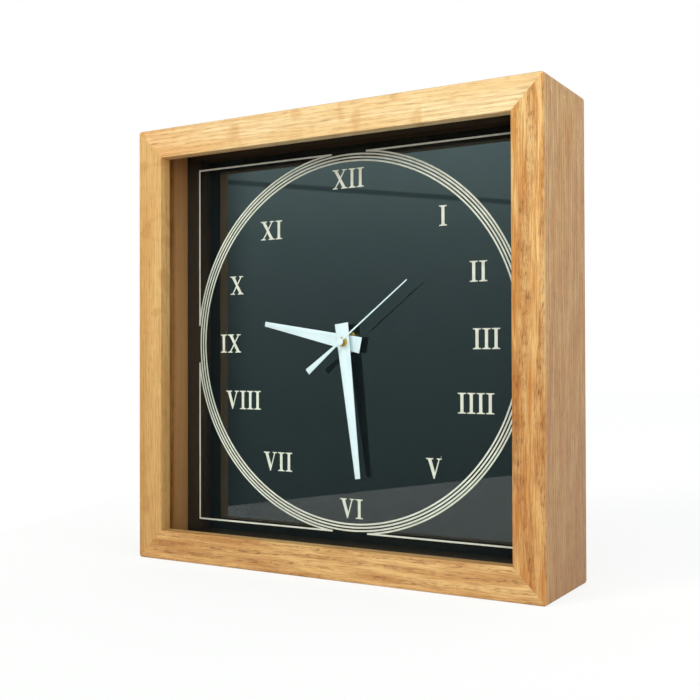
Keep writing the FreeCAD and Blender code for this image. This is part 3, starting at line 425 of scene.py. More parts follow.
def timber(name, grain, tones, gap=2.6, pith=(0.05, 0.03), lines=0.45, dash=(0.45, 7.0), dashes=0.5, fleck=0.0,
           fleck_size=(5.0, 2.0), wander=2.5, roughness=0.5, seed=0.0, bare_and_sheen=None, streak=90, fine_share=0.28,
           lighter=None, shade_and_end_fade=None):
    """Sawn wood: rings round a far pith, stretched pores, slow changes of tone and ray flecks. Sizes in mm."""
    pale, deep, line = (tone(*each) for each in tones)
    wood = Finish(name)
    along = wood.mapped(turn=ALONG[grain], shift=(pith[0], pith[1], seed))
    # the rings wander a little along the board
    sway = wood.noise(wood.mapped((1, 1, 0.16), source=along), 38, 2.0, 0.5, colour=True)
    sway = wood.vector("SCALE", wood.vector("SUBTRACT", sway, (0.5, 0.5, 0.5)), scale=wander * 2 * MM)
    across = wood.vector("MULTIPLY", wood.vector("ADD", along, sway), (1, 1, 0))
    ring = wood.sum("MULTIPLY", wood.vector("LENGTH", across), 1 / (gap * MM))
    part = wood.sum("FRACT", ring)
    early = wood.sum("MULTIPLY", wood.step(part, 0.0, 0.12), wood.step(part, 0.75, 0.25))
    early = wood.sum("MULTIPLY", early, wood.step(wood.noise(along, 150, 2.0), 0.35, 0.65, (0.35, 1.0)))
    # pores are short dashes, crowded in the early wood
    width, length = dash
    pore = wood.noise(wood.mapped((1, 1, width / length), source=along), 1 / (width * MM), 2.0, 0.55)
    pore = wood.step(pore, 0.53, 0.62)
    pore = wood.sum("MULTIPLY", pore, wood.sum("MULTIPLY_ADD", early, 0.75, 0.25))
    fine = wood.noise(wood.mapped((1, 1, 0.03), source=along), 2600, 1.0)
    broad = wood.noise(wood.mapped((1, 1, 0.09), source=wood.vector("ADD", along, sway)), streak, 3.0, 0.55)
    colour = wood.mix(wood.step(broad, 0.34, 0.66), pale, deep)
    colour = wood.mix(wood.sum("MULTIPLY", early, lines), colour, line)
    colour = wood.mix(wood.sum("MULTIPLY", wood.step(fine, 0.42, 0.70), fine_share), colour, line)
    dark = (*(channel * 0.45 for channel in line[:3]), 1.0)
    colour = wood.mix(wood.sum("MULTIPLY", pore, dashes), colour, dark)
    if fleck:
        tall, long = fleck_size
        ray = wood.noise(wood.mapped((1, 1, tall / long), shift=(0, 0, 0.7), source=along), 0.7 / (tall * MM), 0.5)
        colour = wood.mix(wood.sum("MULTIPLY", wood.step(ray, 0.60, 0.70), fleck), colour, line)
    if shade_and_end_fade:
        # painted shade: the side rails darken towards the bottom, as if lit from above; the top and bottom rails
        # darken towards their left ends
        end, low, high, deeper = shade_and_end_fade
        rise = wood.step(wood.axes()[end], low, high)
        colour = wood.mix(1.0, colour, wood.mix(rise, (*deeper, 1), (1, 1, 1, 1)), "MULTIPLY")
    if lighter:
        # the inner wall is brighter towards the dial, where the light falls on it
        near = wood.step(wood.axes()["Y"], PANE_BACK + 8 * MM, PANE_BACK + 13 * MM, (0.0, 0.75))
        colour = wood.mix(near, colour, tone(*lighter))
    if bare_and_sheen:
        # the outer edges of the frame are planed bare and paler than the polished front, and their grey is partly a
        # painted sheen that stands in for the grazing reflection of the white room
        reach = wood.axes(wood.vector("ABSOLUTE", wood.vector("SUBTRACT", wood.place, MIDDLE)))
        edge = wood.sum("MAXIMUM", reach["X"], reach["Z"])
        edge = wood.step(edge, HALF - 0.9 * MM, HALF - 0.2 * MM, (0.0, 0.42))
        colour = wood.mix(edge, colour, tone(*bare_and_sheen))
    height = wood.sum("SUBTRACT", wood.sum("MULTIPLY", fine, 0.25), pore)
    height = wood.sum("SUBTRACT", height, wood.sum("MULTIPLY", early, 0.3))
    gloss = wood.sum("MULTIPLY_ADD", pore, 0.18, roughness)
    return wood.surface(colour, gloss, wood.bump(height, 0.12 * MM, 0.6))


def plain(name, tones, scale, roughness, spread=0.12, grain=900.0, depth=0.02, stretch=(1, 1, 1), **inputs):
    """A moulded, painted or rolled surface: slow changes of tone, a fine grain and uneven gloss."""
    coat = Finish(name)
    place = coat.mapped(stretch)
    slow = coat.noise(place, scale, 3.0)
    fine = coat.noise(place, grain, 2.0, 0.6)
    shade = coat.mix(coat.step(slow, 0.3, 0.7), *(tone(*each) for each in tones))
    gloss = coat.sum("MULTIPLY_ADD", coat.sum("SUBTRACT", slow, 0.5), spread, roughness, clamp=True)
    gloss = coat.sum("MULTIPLY_ADD", coat.sum("SUBTRACT", fine, 0.5), spread, gloss, clamp=True)
    return coat.surface(shade, gloss, coat.bump(fine, depth * MM, 0.5), **inputs)


def lacquer(name):
    """The dial's black gloss print: nearly a mirror, with faint clouds in the colour and a little settled dust."""
    dial = Finish(name)
    shade = dial.mix(dial.noise(dial.place, 30, 3.0), tone(17, 25, 27), tone(22, 30, 32))
    dust = dial.add("ShaderNodeTexVoronoi", {"Vector": dial.place, "Scale": 95}, feature="F1")
    size = dial.step(dial.noise(dial.place, 40, 0.0), 0.55, 0.75, (0.0, 0.045))
    speck = dial.sum("LESS_THAN", dust.outputs["Distance"], size)
    shade = dial.mix(dial.sum("MULTIPLY", speck, 0.7), shade, tone(120, 126, 126))
    return dial.surface(shade, dial.sum("MULTIPLY", speck, 0.4), Specular_IOR_Level=1.0, IOR=1.53)


def glazing(name):
    """Coated picture glass: clear from straight ahead, with a reflection that grows towards the edge of the view."""
    glass = Finish(name)
    cloud = glass.step(glass.noise(glass.place, 60, 2.0), 0.3, 0.7)
    tint = glass.mix(cloud, (0.985, 0.99, 0.985, 1), (0.97, 0.98, 0.975, 1))
    clear = glass.add("ShaderNodeBsdfTransparent", {"Color": tint})
    mirror = glass.add("ShaderNodeBsdfGlossy", {"Color": (1, 1, 1, 1), "Roughness": 0.0})
    edge = glass.add("ShaderNodeFresnel", {"IOR": 1.5}).outputs[0]
    share = glass.sum("MULTIPLY", edge, glass.step(edge, 0.08, 0.30, (0.0, 0.55)))
    # only the face that looks outwards reflects
    inside = glass.add("ShaderNodeNewGeometry").outputs["Backfacing"]
    share = glass.sum("MULTIPLY", share, glass.sum("SUBTRACT", 1.0, inside), clamp=True)
    return glass.shown(glass.blend(clear, mirror, share))


def jacket(name):
    """A printed cell jacket without words: dark, with a copper band at the button end and bare steel ends."""
    wrap = Finish(name)
    cloud = wrap.noise(wrap.mapped((0.3, 1, 1)), 140, 3.0)
    ink = wrap.mix(cloud, tone(44, 47, 52), tone(58, 62, 68))
    foil = wrap.mix(cloud, tone(196, 118, 62), tone(176, 100, 50))
    metal = wrap.mix(cloud, tone(206, 206, 202), tone(184, 184, 178))
    low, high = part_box("battery_cell")
    band = wrap.step(wrap.axes()["X"], high.x - 14.35 * MM, high.x - 14.25 * MM)
    shade = wrap.mix(band, ink, foil)
    # the sleeve stops short of both ends and laps over the rim
    axis = wrap.vector("SUBTRACT", wrap.place, (low + high) / 2)
    axis = wrap.vector("LENGTH", wrap.vector("MULTIPLY", axis, (0, 1, 1)))
    inside = wrap.step(axis, 6.0 * MM, 6.05 * MM, (1.0, 0.0))
    shade = wrap.mix(inside, shade, metal)
    shine = wrap.sum("MAXIMUM", inside, wrap.sum("MULTIPLY", band, 0.7))
    fine = wrap.noise(wrap.place, 1800, 2.0)
    gloss = wrap.sum("MULTIPLY_ADD", fine, 0.12, 0.24)
    return wrap.surface(shade, gloss, wrap.bump(fine, 0.006 * MM, 0.5), Metallic=shine)


def windings(name):
    """Enamelled copper wire, wound side by side across the coil."""
    wire = Finish(name)
    turns = wire.add("ShaderNodeTexWave", {"Vector": wire.place, "Scale": 1150, "Distortion": 0.4}, wave_type="BANDS",
                     bands_direction="X", wave_profile="SIN").outputs["Fac"]
    colour = wire.mix(turns, tone(120, 52, 20), tone(222, 122, 62))
    return wire.surface(colour, 0.3, wire.bump(turns, 0.05 * MM, 0.8), Metallic=1.0)


SPACER = dict(tones=((204, 132, 66), (180, 108, 48), (118, 64, 24)), gap=2.4, pith=(0.03, 0.05), lines=0.5,
              dash=(0.4, 7.0), dashes=0.4, roughness=0.55, lighter=(206, 150, 96))
STRIP = dict(tones=((226, 196, 146), (210, 176, 124), (176, 134, 84)), gap=2.2, pith=(0.04, 0.05), lines=0.4,
             dash=(0.3, 6.0), dashes=0.3, roughness=0.6)

# Each board as timber takes it.
WOODS = {
    "oak_top": dict(grain="x", tones=((250, 222, 172), (240, 200, 142), (206, 146, 84)), gap=2.7, pith=(0.012, 0.055),
                    lines=0.28, dash=(0.28, 9.0), dashes=0.46, fleck=0.42, fleck_size=(15.0, 9.0), wander=2.6,
                    bare_and_sheen=BARE_AND_SHEEN, fine_share=0.50, shade_and_end_fade=("X", -0.15, -0.01, (0.93, 0.74, 0.58))),
    "oak_left": dict(grain="z", tones=((234, 188, 124), (222, 170, 104), (184, 124, 66)), gap=1.9, pith=(0.17, 0.05),
                     lines=0.20, dash=(0.24, 6.0), dashes=0.42, fleck=0.30, fleck_size=(12.0, 8.0), wander=1.8,
                     seed=0.3, bare_and_sheen=BARE_AND_SHEEN, fine_share=0.45, shade_and_end_fade=("Z", -0.05, 0.28, (0.66, 0.58, 0.47))),
    "oak_right": dict(grain="z", tones=((240, 196, 130), (212, 146, 74), (166, 98, 40)), gap=3.0,
                      pith=(-0.11, 0.075), lines=0.50, dash=(0.42, 4.0), dashes=0.72, wander=5.0, seed=0.9,
                      bare_and_sheen=BARE_AND_SHEEN, streak=260, fine_share=0.60, shade_and_end_fade=("Z", 0.0, 0.28, (0.74, 0.64, 0.55))),
    "oak_bottom": dict(grain="x", tones=((226, 182, 120), (196, 144, 86), (152, 94, 48)), gap=3.4, pith=(-0.02, 0.06),
                       lines=0.24, dash=(0.5, 3.6), dashes=0.62, wander=3.0, seed=1.7, bare_and_sheen=BARE_AND_SHEEN, streak=200,
                       fine_share=0.50, shade_and_end_fade=("X", -0.14, 0.10, (0.83, 0.74, 0.64))),
    "spacer_wood_x": dict(SPACER, grain="x"), "spacer_wood_z": dict(SPACER, grain="z"),
    "strip_wood_x": dict(STRIP, grain="x"), "strip_wood_z": dict(STRIP, grain="z"),
}

# Each coat as plain takes it: two tones, how fine their clouds are, the roughness, and the rest by name.
COATS = {
    "wood_filler": (((214, 182, 134), (202, 168, 120)), 900, 0.6, {}),
    "hardboard": (((126, 88, 58), (114, 78, 50)), 900, 0.62, dict(grain=2600, depth=0.05)),
    "print_cream": (((228, 225, 212), (216, 212, 198)), 200, 0.55, dict(grain=2000, depth=0.004)),
    "hand_white": (((229, 241, 246), (221, 235, 241)), 70, 0.36, dict(spread=0.08, grain=1800, depth=0.006)),
    "brass": (((240, 196, 96), (222, 172, 76)), 300, 0.32, dict(spread=0.14, grain=2400, depth=0.006, Metallic=0.75)),
    "steel_wire": (((176, 178, 180), (150, 150, 150)), 300, 0.34,
                   dict(spread=0.15, grain=2400, depth=0.006, Metallic=1.0)),
    "hanger_steel": (((190, 188, 180), (168, 164, 150)), 240, 0.36,
                     dict(spread=0.18, grain=1800, depth=0.01, Metallic=1.0)),
    "case_plastic": (((34, 35, 37), (28, 29, 31)), 90, 0.45, dict(spread=0.08, grain=1600, depth=0.03)),
    "gear_plastic": (((232, 230, 220), (222, 219, 206)), 160, 0.4, dict(depth=0.01, Subsurface_Weight=0.05)),
    "knob_plastic": (((228, 226, 216), (216, 213, 202)), 160, 0.42, dict(grain=1200, depth=0.01)),
    "rubber": (((30, 30, 31), (24, 24, 25)), 300, 0.75, dict(grain=1500, depth=0.03)),
    "arbor_steel": (((200, 202, 205), (178, 180, 184)), 600, 0.22,
                    dict(grain=3000, depth=0.003, stretch=(1, 0.1, 1), Metallic=1.0)),
    "magnet": (((70, 70, 74), (56, 56, 60)), 500, 0.45, dict(grain=2000, depth=0.01, Metallic=0.6)),
    "stator_iron": (((160, 162, 160), (140, 142, 140)), 240, 0.38,
                    dict(grain=1800, depth=0.01, stretch=(0.2, 1, 1), Metallic=1.0)),
    "bobbin_plastic": (((210, 64, 48), (196, 54, 40)), 200, 0.45, dict(grain=1200, depth=0.01)),
    "circuit_green": (((36, 104, 66), (28, 86, 54)), 160, 0.35, dict(grain=1400, depth=0.01)),
    "chip_black": (((30, 30, 32), (24, 24, 26)), 400, 0.6, dict(grain=2600)),
    "crystal_can": (((205, 205, 202), (186, 186, 182)), 500, 0.24, dict(grain=3000, depth=0.004, Metallic=1.0)),
    "contact_steel": (((206, 204, 198), (188, 186, 180)), 300, 0.28, dict(grain=2400, depth=0.006, Metallic=1.0)),
}

# Finishes that are like no other.
OWN = {"glass": glazing, "dial_black": lacquer, "cell_jacket": jacket, "copper_wire": windings}

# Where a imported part's slot has more than one finish, the one that it gets.
FIRST_OF = {"oak": "oak_top", "spacer_wood": "spacer_wood_z", "strip_wood": "strip_wood_z"}

FINISHES = {}


def finish(name):
    """A named finish, made when it is first asked for."""
    if name not in FINISHES:
        if name in OWN:
            FINISHES[name] = OWN[name](name)
        elif name in WOODS:
            FINISHES[name] = timber(name, **WOODS[name])
        else:
            tones, scale, roughness, rest = COATS[name]
            FINISHES[name] = plain(name, tones, scale, roughness, **rest)
    return FINISHES[name]


# Sizes and colours that a user would change.


def size(name, description, millimetres):
    """A length that a user may change."""
    return bpy.props.FloatProperty(name=name, description=description, default=millimetres * MM, unit="LENGTH",
                                   subtype="DISTANCE")


def bearing(name, description, degrees):
    """Where a hand points, clockwise from twelve."""
    return bpy.props.FloatProperty(name=name, description=description, default=math.radians(degrees),
                                   subtype="ANGLE")


class ClockFrameSettings(bpy.types.PropertyGroup):
    """The oak frame."""
    arris: size("Arris", "Radius worn on the long edges of the rails", 0.8)
    corner: size("Corner", "Radius of the frame's four outer corners", 2.0)
    joint: size("Mitre joint", "Hairline left open at each mitre", 0.05)


class ClockDialSettings(bpy.types.PropertyGroup):
    """The printed dial."""
    line: size("Line", "Width of the printed lines", 1.0)
    square: size("Square", "Half the side of the corner pieces' square", 112.0)
    opening: size("Opening", "Where the square's lines stop beside each axis", 12.2)
    arc: size("Corner arc", "Radius of the arc that closes each corner piece", 112.7)
    rings: bpy.props.FloatVectorProperty(name="Rings", description="Radii of the three whole rings", size=3,
                                         default=(111.0 * MM, 109.1 * MM, 107.2 * MM), unit="LENGTH")
    numeral: size("Numerals", "Height of the hour numerals", 11.5)
    ink: size("Ink", "How far the screen print stands on the dial", 0.05)


class ClockHandSettings(bpy.types.PropertyGroup):
    """The three hands."""
    hour: bearing("Hour hand", "Where the hour hand points, clockwise from twelve", 281.6)
    minute: bearing("Minute hand", "Where the minute hand points", 173.2)
    second: bearing("Second hand", "Where the second hand points", 51.9)
    edge: size("Edge", "Rounding of the stamped edges", 0.07)


class ClockBackSettings(bpy.types.PropertyGroup):
    """The edges of what stands behind the dial."""
    board: size("Board edge", "Rounding of the backing board", 0.3)
    strip: size("Strip edge", "Rounding of the strips that hold the board", 0.6)
    spacer: size("Spacer edge", "Rounding of the inner walls", 0.15)
    metal: size("Sheet edge", "Rounding of pressed sheet metal", 0.12)
    moulding: size("Moulded edge", "Rounding of moulded plastic", 0.35)


class ClockStudioSettings(bpy.types.PropertyGroup):
    """The floor, the light and the camera."""
    floor: bpy.props.FloatVectorProperty(name="Floor", description="Colour of the pale floor", size=3,
                                         subtype="COLOR", default=(0.80, 0.785, 0.77), min=0, max=1)
    key: bpy.props.FloatProperty(name="Key light", description="Strength of the soft light at the upper left",
                                 default=1.14, min=0)
    front: bpy.props.FloatProperty(name="Front light", description="Strength of the soft light beside the camera",
                                   default=1.14, min=0)
    side: bpy.props.FloatProperty(name="Side light", description="Power of the soft light at the right",
                                  default=14.0, min=0)
    lens: bpy.props.FloatProperty(name="Lens", description="Focal length of the camera", default=52.963 * MM,
                                  unit="CAMERA")


# The stage.

# The camera's place and the ways its picture runs, fitted to the frame's edges in the photo.
VIEW_SPOT = (0.31024, -0.52077, 0.12170)
VIEW_RIGHT = (0.86034695, 0.50970116, -0.00280243)
VIEW_UP = (0.00829206, -0.00849873, 0.9999295)
VIEW_BACK = (0.50964141, -0.86030953, -0.01153833)

# The tabletop's left edge, which the dial mirrors.
TABLE_EDGE = -0.2844
TABLE_TURN = math.radians(19.57)

# How bright the room stands in the mirror, from low to high, and its tint.
ROOM_STOPS = ((0.0, 0.22), (0.20, 0.27), (0.40, 0.36), (0.55, 0.46), (0.70, 0.62), (0.80, 0.80), (1.0, 1.2))
ROOM_TINT = (0.72, 1.0, 1.02)
BEHIND = (0.62, 0.62, 0.62, 1)
WHITE = (1, 1, 1, 1)

# The soft lights that face the clock: kind, place and colour. The settings hold their strengths.
LIGHTS = {"key": ("SUN", (-1.0, -1.9, 1.1), (1.05, 0.93, 0.87)),
          "front": ("SUN", (0.95, -2.05, 0.35), (1.05, 0.94, 0.89)),
          "side": ("AREA", (2.3, -0.1, 0.7), (0.92, 0.94, 1.02))}
SUN_SPREAD = math.radians(24)
PANEL_SIZE = 1.4

# The direction that a thin seam in the backdrop stands square to.
SEAM = (0.1459, 0.1040, 0.9838)


class CLOCK_OT_studio(bpy.types.Operator):
    """Set the floor, the soft lights and the camera"""
    bl_idname = "clock.studio"
    bl_label = "Studio"

    def execute(self, context):
        look = context.scene.clock_studio
        self.floor(look)
        self.world(context.scene)
        for name, (kind, spot, colour) in LIGHTS.items():
            self.light(name + "_light", kind, spot, getattr(look, name), colour)
        self.camera(context.scene, look)
        context.scene.view_settings.view_transform = "Standard"
        return {"FINISHED"}

    def floor(self, look):
        """A pale tabletop. Its left edge shows only in the dial."""
        floor = start(bpy.ops.mesh.primitive_plane_add, "tabletop", size=1, location=(2.0, 0.0, 0), scale=(4, 7, 1))
        with shaping(floor):
            pick(floor, "EDGE", lambda edge: abs(centre_of(edge).x) < 1e-4)
            push((-0.004, 0, -0.004))
            push((0, 0, -0.03))
            face_outwards()
        turned(floor, TABLE_TURN, (0, 0, 0), "Z")
        moved(floor, (TABLE_EDGE, 0, 0))
        table = Finish("tabletop")
        warm = table.mix(table.noise(table.place, 3, 2.0), (*look.floor, 1),
                         (*(channel * 0.98 for channel in look.floor), 1))
        lit = table.add("ShaderNodeBsdfDiffuse", {"Color": warm})
        # what the camera sees of it is nearly white, and keeps a part of the shadow
        dim = table.mix(1.0, warm, (0.32, 0.32, 0.32, 1), "MULTIPLY")
        pale = table.blend(table.add("ShaderNodeBsdfDiffuse", {"Color": dim}),
                           table.add("ShaderNodeEmission", {"Color": (1.0, 0.992, 0.985, 1), "Strength": 0.77}))
        seen = table.add("ShaderNodeLightPath").outputs["Is Camera Ray"]
        floor.data.materials.append(table.shown(table.blend(lit, pale, seen)))

    def world(self, scene):
        """White behind the table, and for the dial a dim room at the front left, lighter towards its ceiling."""
        world = scene.world or bpy.data.worlds.new("room")
        scene.world = world
        world.use_nodes = True
        room = Nodes(world.node_tree)
        way = room.add("ShaderNodeTexCoord").outputs["Generated"]
        across, away, up = room.axes(way)
        ramp = room.add("ShaderNodeValToRGB", {"Fac": room.sum("MULTIPLY_ADD", up, 3.0, 0.35, clamp=True)})
        while len(ramp.color_ramp.elements) < len(ROOM_STOPS):
            ramp.color_ramp.elements.new(0.5)
        for stop, (spot, value) in zip(ramp.color_ramp.elements, ROOM_STOPS):
            stop.position, stop.color = spot, (*(value * channel for channel in ROOM_TINT), 1)
        side = room.sum("DIVIDE", across, room.sum("MAXIMUM", room.sum("MULTIPLY", away, -1.0), 0.05))
        wall = room.step(side, -0.80, -0.72, (0.15, 1.0))
        lean = room.sum("ABSOLUTE", room.vector("DOT_PRODUCT", way, SEAM))
        seam = room.step(lean, 0.0012, 0.0035, (0.45, 1.0))
        around = room.mix(1.0, ramp.outputs["Color"], room.sum("MULTIPLY", wall, seam), "MULTIPLY")
        around = room.mix(room.step(away, -0.25, 0.1), around, BEHIND)
        paths = room.add("ShaderNodeLightPath").outputs
        for ray in ("Is Camera Ray", "Is Transmission Ray"):
            around = room.mix(paths[ray], around, WHITE)
        sky = room.add("ShaderNodeBackground", {"Color": around})
        room.add("ShaderNodeOutputWorld", {"Surface": sky.outputs[0]})

    def light(self, name, kind, spot, power, colour):
        """A broad soft light that faces the clock."""
        bpy.ops.object.select_all(action="DESELECT")
        bpy.ops.object.light_add(type=kind, location=spot)
        lamp = bpy.context.object
        lamp.name = lamp.data.name = name
        lamp.rotation_euler = (MIDDLE - Vector(spot)).to_track_quat("-Z", "Y").to_euler()
        lamp.data.energy = power
        lamp.data.color = colour
        if kind == "SUN":
            lamp.data.angle = SUN_SPREAD
        else:
            lamp.data.size = PANEL_SIZE
        lamp.visible_glossy = False

    def camera(self, scene, look):
        """The viewpoint: to the right of the clock, just below its middle."""
        lens = bpy.data.cameras.new("viewpoint")
        lens.lens = look.lens / MM
        lens.sensor_width = 36
        lens.clip_start = 0.01
        camera = bpy.data.objects.new("viewpoint", lens)
        scene.collection.objects.link(camera)
        place = Matrix([Vector(way) for way in (VIEW_RIGHT, VIEW_UP, VIEW_BACK)]).transposed().to_4x4()
        place.translation = VIEW_SPOT
        camera.matrix_world = place
        scene.camera = camera


# The frame.

# The brads, in mm: how far in from the frame's corner, and from the ends of the box that holds their fillers.
BRAD_IN, BRAD_HALF = 6.6 * MM, 0.6 * MM
# Half the length, half the width and the depth of a brad's pocket, and of the filling in it.
POCKET = (1.1 * MM, 0.72 * MM, 1.7 * MM)
FILLING = (1.06 * MM, 0.68 * MM, 1.5 * MM)


def brad_spots():
    """For each brad the rail's side, the spot on the outer face, and the way into the wood."""
    low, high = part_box("brad_fillers")
    for depth in (low.y + BRAD_HALF, high.y - BRAD_HALF):
        for way, side in ((-1, "left"), (1, "right")):
            yield "bottom", Vector((way * (HALF - BRAD_IN), depth, 0)), Vector((0, 0, 1))
            yield side, Vector((way * HALF, depth, 2 * HALF - BRAD_IN)), Vector((-way, 0, 0))


def plug(name, spot, side, long, short, deep):
    """An oval plug in a brad's pocket: long in the depth of the clock or across it."""
    made = start(bpy.ops.mesh.primitive_cylinder_add, name, vertices=32, radius=1.0, depth=2 * deep,
                 scale=(long, short, 1))
    if side in ("left", "right"):
        turned(made, math.pi / 2, (0, 0, 0))
    return moved(made, spot)


class CLOCK_OT_rails(bpy.types.Operator):
    """Model one mitred oak rail and copy it round the four sides"""
    bl_idname = "clock.rails"
    bl_label = "Oak rails"

    def execute(self, context):
        look = context.scene.clock_frame
        top = self.rail(look)
        rails = {"top": top}
        for step, side in enumerate(("right", "bottom", "left"), start=1):
            rails[side] = turned(copy_of(top, "rail_" + side), step * math.pi / 2)
        if rails["right"].data.vertices[0].co.x <= 0:
            raise RuntimeError("the rails turned the wrong way")
        low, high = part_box("sawtooth_hanger")
        spare = 0.5 * MM
        notch = block("notch", (low.x - spare, low.y, HALF + WALL - MM),
                      (high.x + spare, DEPTH_HALF + MM, high.z + spare))
        cut_by(rails["top"], notch)
        for side, rail in rails.items():
            for place, spot, _ in brad_spots():
                if place == side:
                    cut_by(rail, plug("pocket", spot, side, *POCKET))
            finished(rail, BODY, "oak_" + side, ["frame_rail_" + side], angle=40)
        return {"FINISHED"}

    def rail(self, look):
        """The top rail: a thin wall with a lip turned down in front of the glass, mitred at both ends."""
        rail = block("rail_top", (-HALF, -DEPTH_HALF, HALF + WALL), (HALF, DEPTH_HALF, 2 * HALF))
        with shaping(rail):
            slit((0, PANE_FRONT, 0), (0, 1, 0))
            pick(rail, "FACE", lambda face: face.normal.z < -0.9 and centre_of(face).y < PANE_FRONT)
            push((0, 0, SIGHT - WALL))
            for side in (-1, 1):
                slice_off((side * (HALF - look.joint / 2), 0, 2 * HALF), (side, 0, -1))
                spot = Vector((side * (HALF - look.corner), 0, 2 * HALF - look.corner))
                for angle in (15, 30, 45):
                    lean = Vector((side * math.sin(math.radians(angle)), 0, math.cos(math.radians(angle))))
                    slice_off(spot + lean * look.corner, lean)
            face_outwards()
            pick(rail, "EDGE", lambda edge: between(edge, flat, lambda normal: normal.z > 0.1))
            soften(look.arris, 4)
            pick(rail, "EDGE", lambda edge: between(edge, flat, lambda normal: normal.z < -0.9)
                 and abs(abs(centre_of(edge).y) - DEPTH_HALF) < 1e-5)
            soften(look.arris / 3, 2)
        return rail


class CLOCK_OT_fillers(bpy.types.Operator):
    """Fill the brads' pockets with paler wood filler"""
    bl_idname = "clock.fillers"
    bl_label = "Wood filler"

    def execute(self, context):
        made = [self.filler(*place) for place in brad_spots()]
        finished(joined(made, "brad_fillers_oval"), BODY, "wood_filler", ["brad_fillers"])
        return {"FINISHED"}

    def filler(self, side, spot, inward):
        """One filling, slightly dished as it dries."""
        made = plug("filling", spot, side, *FILLING)
        with shaping(made):
            slice_off(spot + inward * 0.03 * MM, -inward)
            pick(made, "FACE", lambda face: face.normal.dot(inward) < -0.9)
            bpy.ops.mesh.inset(thickness=0.2 * MM, depth=-0.08 * MM)
        return made


class CLOCK_OT_glass(bpy.types.Operator):
    """Fit the pane of float glass with its ground arrises"""
    bl_idname = "clock.glass"
    bl_label = "Glass"

    def execute(self, context):
        pane = block("pane", *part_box("glass_pane"))
        rounded(pane, 0.3 * MM, 1)
        finished(pane, BODY, "glass", ["glass_pane"])
        return {"FINISHED"}


# The printed dial.

DIAL_BORE = 4.1 * MM
# The panel is cut this many times each way, so that its hole leaves no long thin faces.
DIAL_CUTS = 8
# How deep the print starts in the dial, and the hair by which each piece of a corner laps over the next.
INK_ROOT, LAP = 0.05 * MM, 0.002 * MM


class CLOCK_OT_dial(bpy.types.Operator):
    """Cut the glossy black dial and bore it for the bush"""
    bl_idname = "clock.dial"
    bl_label = "Dial"

    def execute(self, context):
        low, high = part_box("dial_face")
        panel = block("dial_panel", low, high)
        with shaping(panel):
            for step in range(1, DIAL_CUTS):
                for way in ((1, 0, 0), (0, 0, 1)):
                    slit(low + (high - low) * step / DIAL_CUTS, way)
        bored(panel, DIAL_BORE, low.y, high.y)
        rounded(panel, 0.08 * MM, 1, 60)
        finished(panel, BODY, "dial_black", ["dial_face"])
        return {"FINISHED"}


class CLOCK_OT_dial_lines(bpy.types.Operator):
    """Print the three rings and the four corner pieces"""
    bl_idname = "clock.dial_lines"
    bl_label = "Dial lines"

    def execute(self, context):
        look = context.scene.clock_dial
        front, back = DIAL_FRONT - look.ink, DIAL_FRONT + INK_ROOT
        lines = [self.arc("ring", radius, look.line, 0, 360, front, back) for radius in look.rings]
        corner = self.corner(look, front, back)
        lines += [corner] + [turned(copy_of(corner, "corner"), step * math.pi / 2) for step in (1, 2, 3)]
        finished(joined(lines, "dial_lines"), BODY, "print_cream")
        return {"FINISHED"}

    def arc(self, name, radius, width, first, last, front, back):
        """A band spun about the middle of the dial, from one angle to another, clockwise from twelve."""
        band = start(bpy.ops.mesh.primitive_plane_add, name, size=1, rotation=(math.pi / 2, 0, 0),
                     location=(0, front, HALF + radius), scale=(width, width, 1))
        with shaping(band):
            pick(band, "VERT", lambda vertex: vertex.co.x > 0)
            bpy.ops.mesh.delete(type="VERT")
        for corner in band.data.vertices:
            corner.co.x = 0
        turned(band, math.radians(first))
        with shaping(band):
            bpy.ops.mesh.select_all(action="SELECT")
            bpy.ops.mesh.spin(steps=240 if last - first >= 360 else 72, dupli=False,
                              angle=math.radians(last - first), center=MIDDLE, axis=(0, -1, 0))
            bpy.ops.mesh.select_all(action="SELECT")
            bpy.ops.mesh.remove_doubles(threshold=1e-6)
            push((0, back - front, 0))
            face_outwards()
        return band

    def corner(self, look, front, back):
        """The corner piece at the upper right: two legs on the square and an arc between their ends."""
        wide, far, near = look.line / 2, look.square, look.opening
        tip = math.degrees(math.asin(near / look.arc))
        arc = self.arc("arc", look.arc, look.line, tip, 90 - tip, front - 2 * LAP, back)
        across = self.leg((near, far), (far + wide, far), wide, front, back)
        down = self.leg((far, near), (far, far - wide), wide, front - LAP, back)
        return joined([arc, across, down], "corner")

    def leg(self, first, last, wide, front, back):
        """A straight line with a round start."""
        along = (Vector(last) - Vector(first)).normalized()
        side = Vector((-along.y, along.x)) * wide
        outline = [Vector(last) - side, Vector(last) + side]
        for step in range(9):
            turn = math.pi / 2 + math.pi * step / 8
            outline.append(Vector(first) + along * (wide * math.cos(turn)) + side * math.sin(turn))
        return plate("leg", [(spot.x, spot.y + HALF) for spot in outline], front, back)


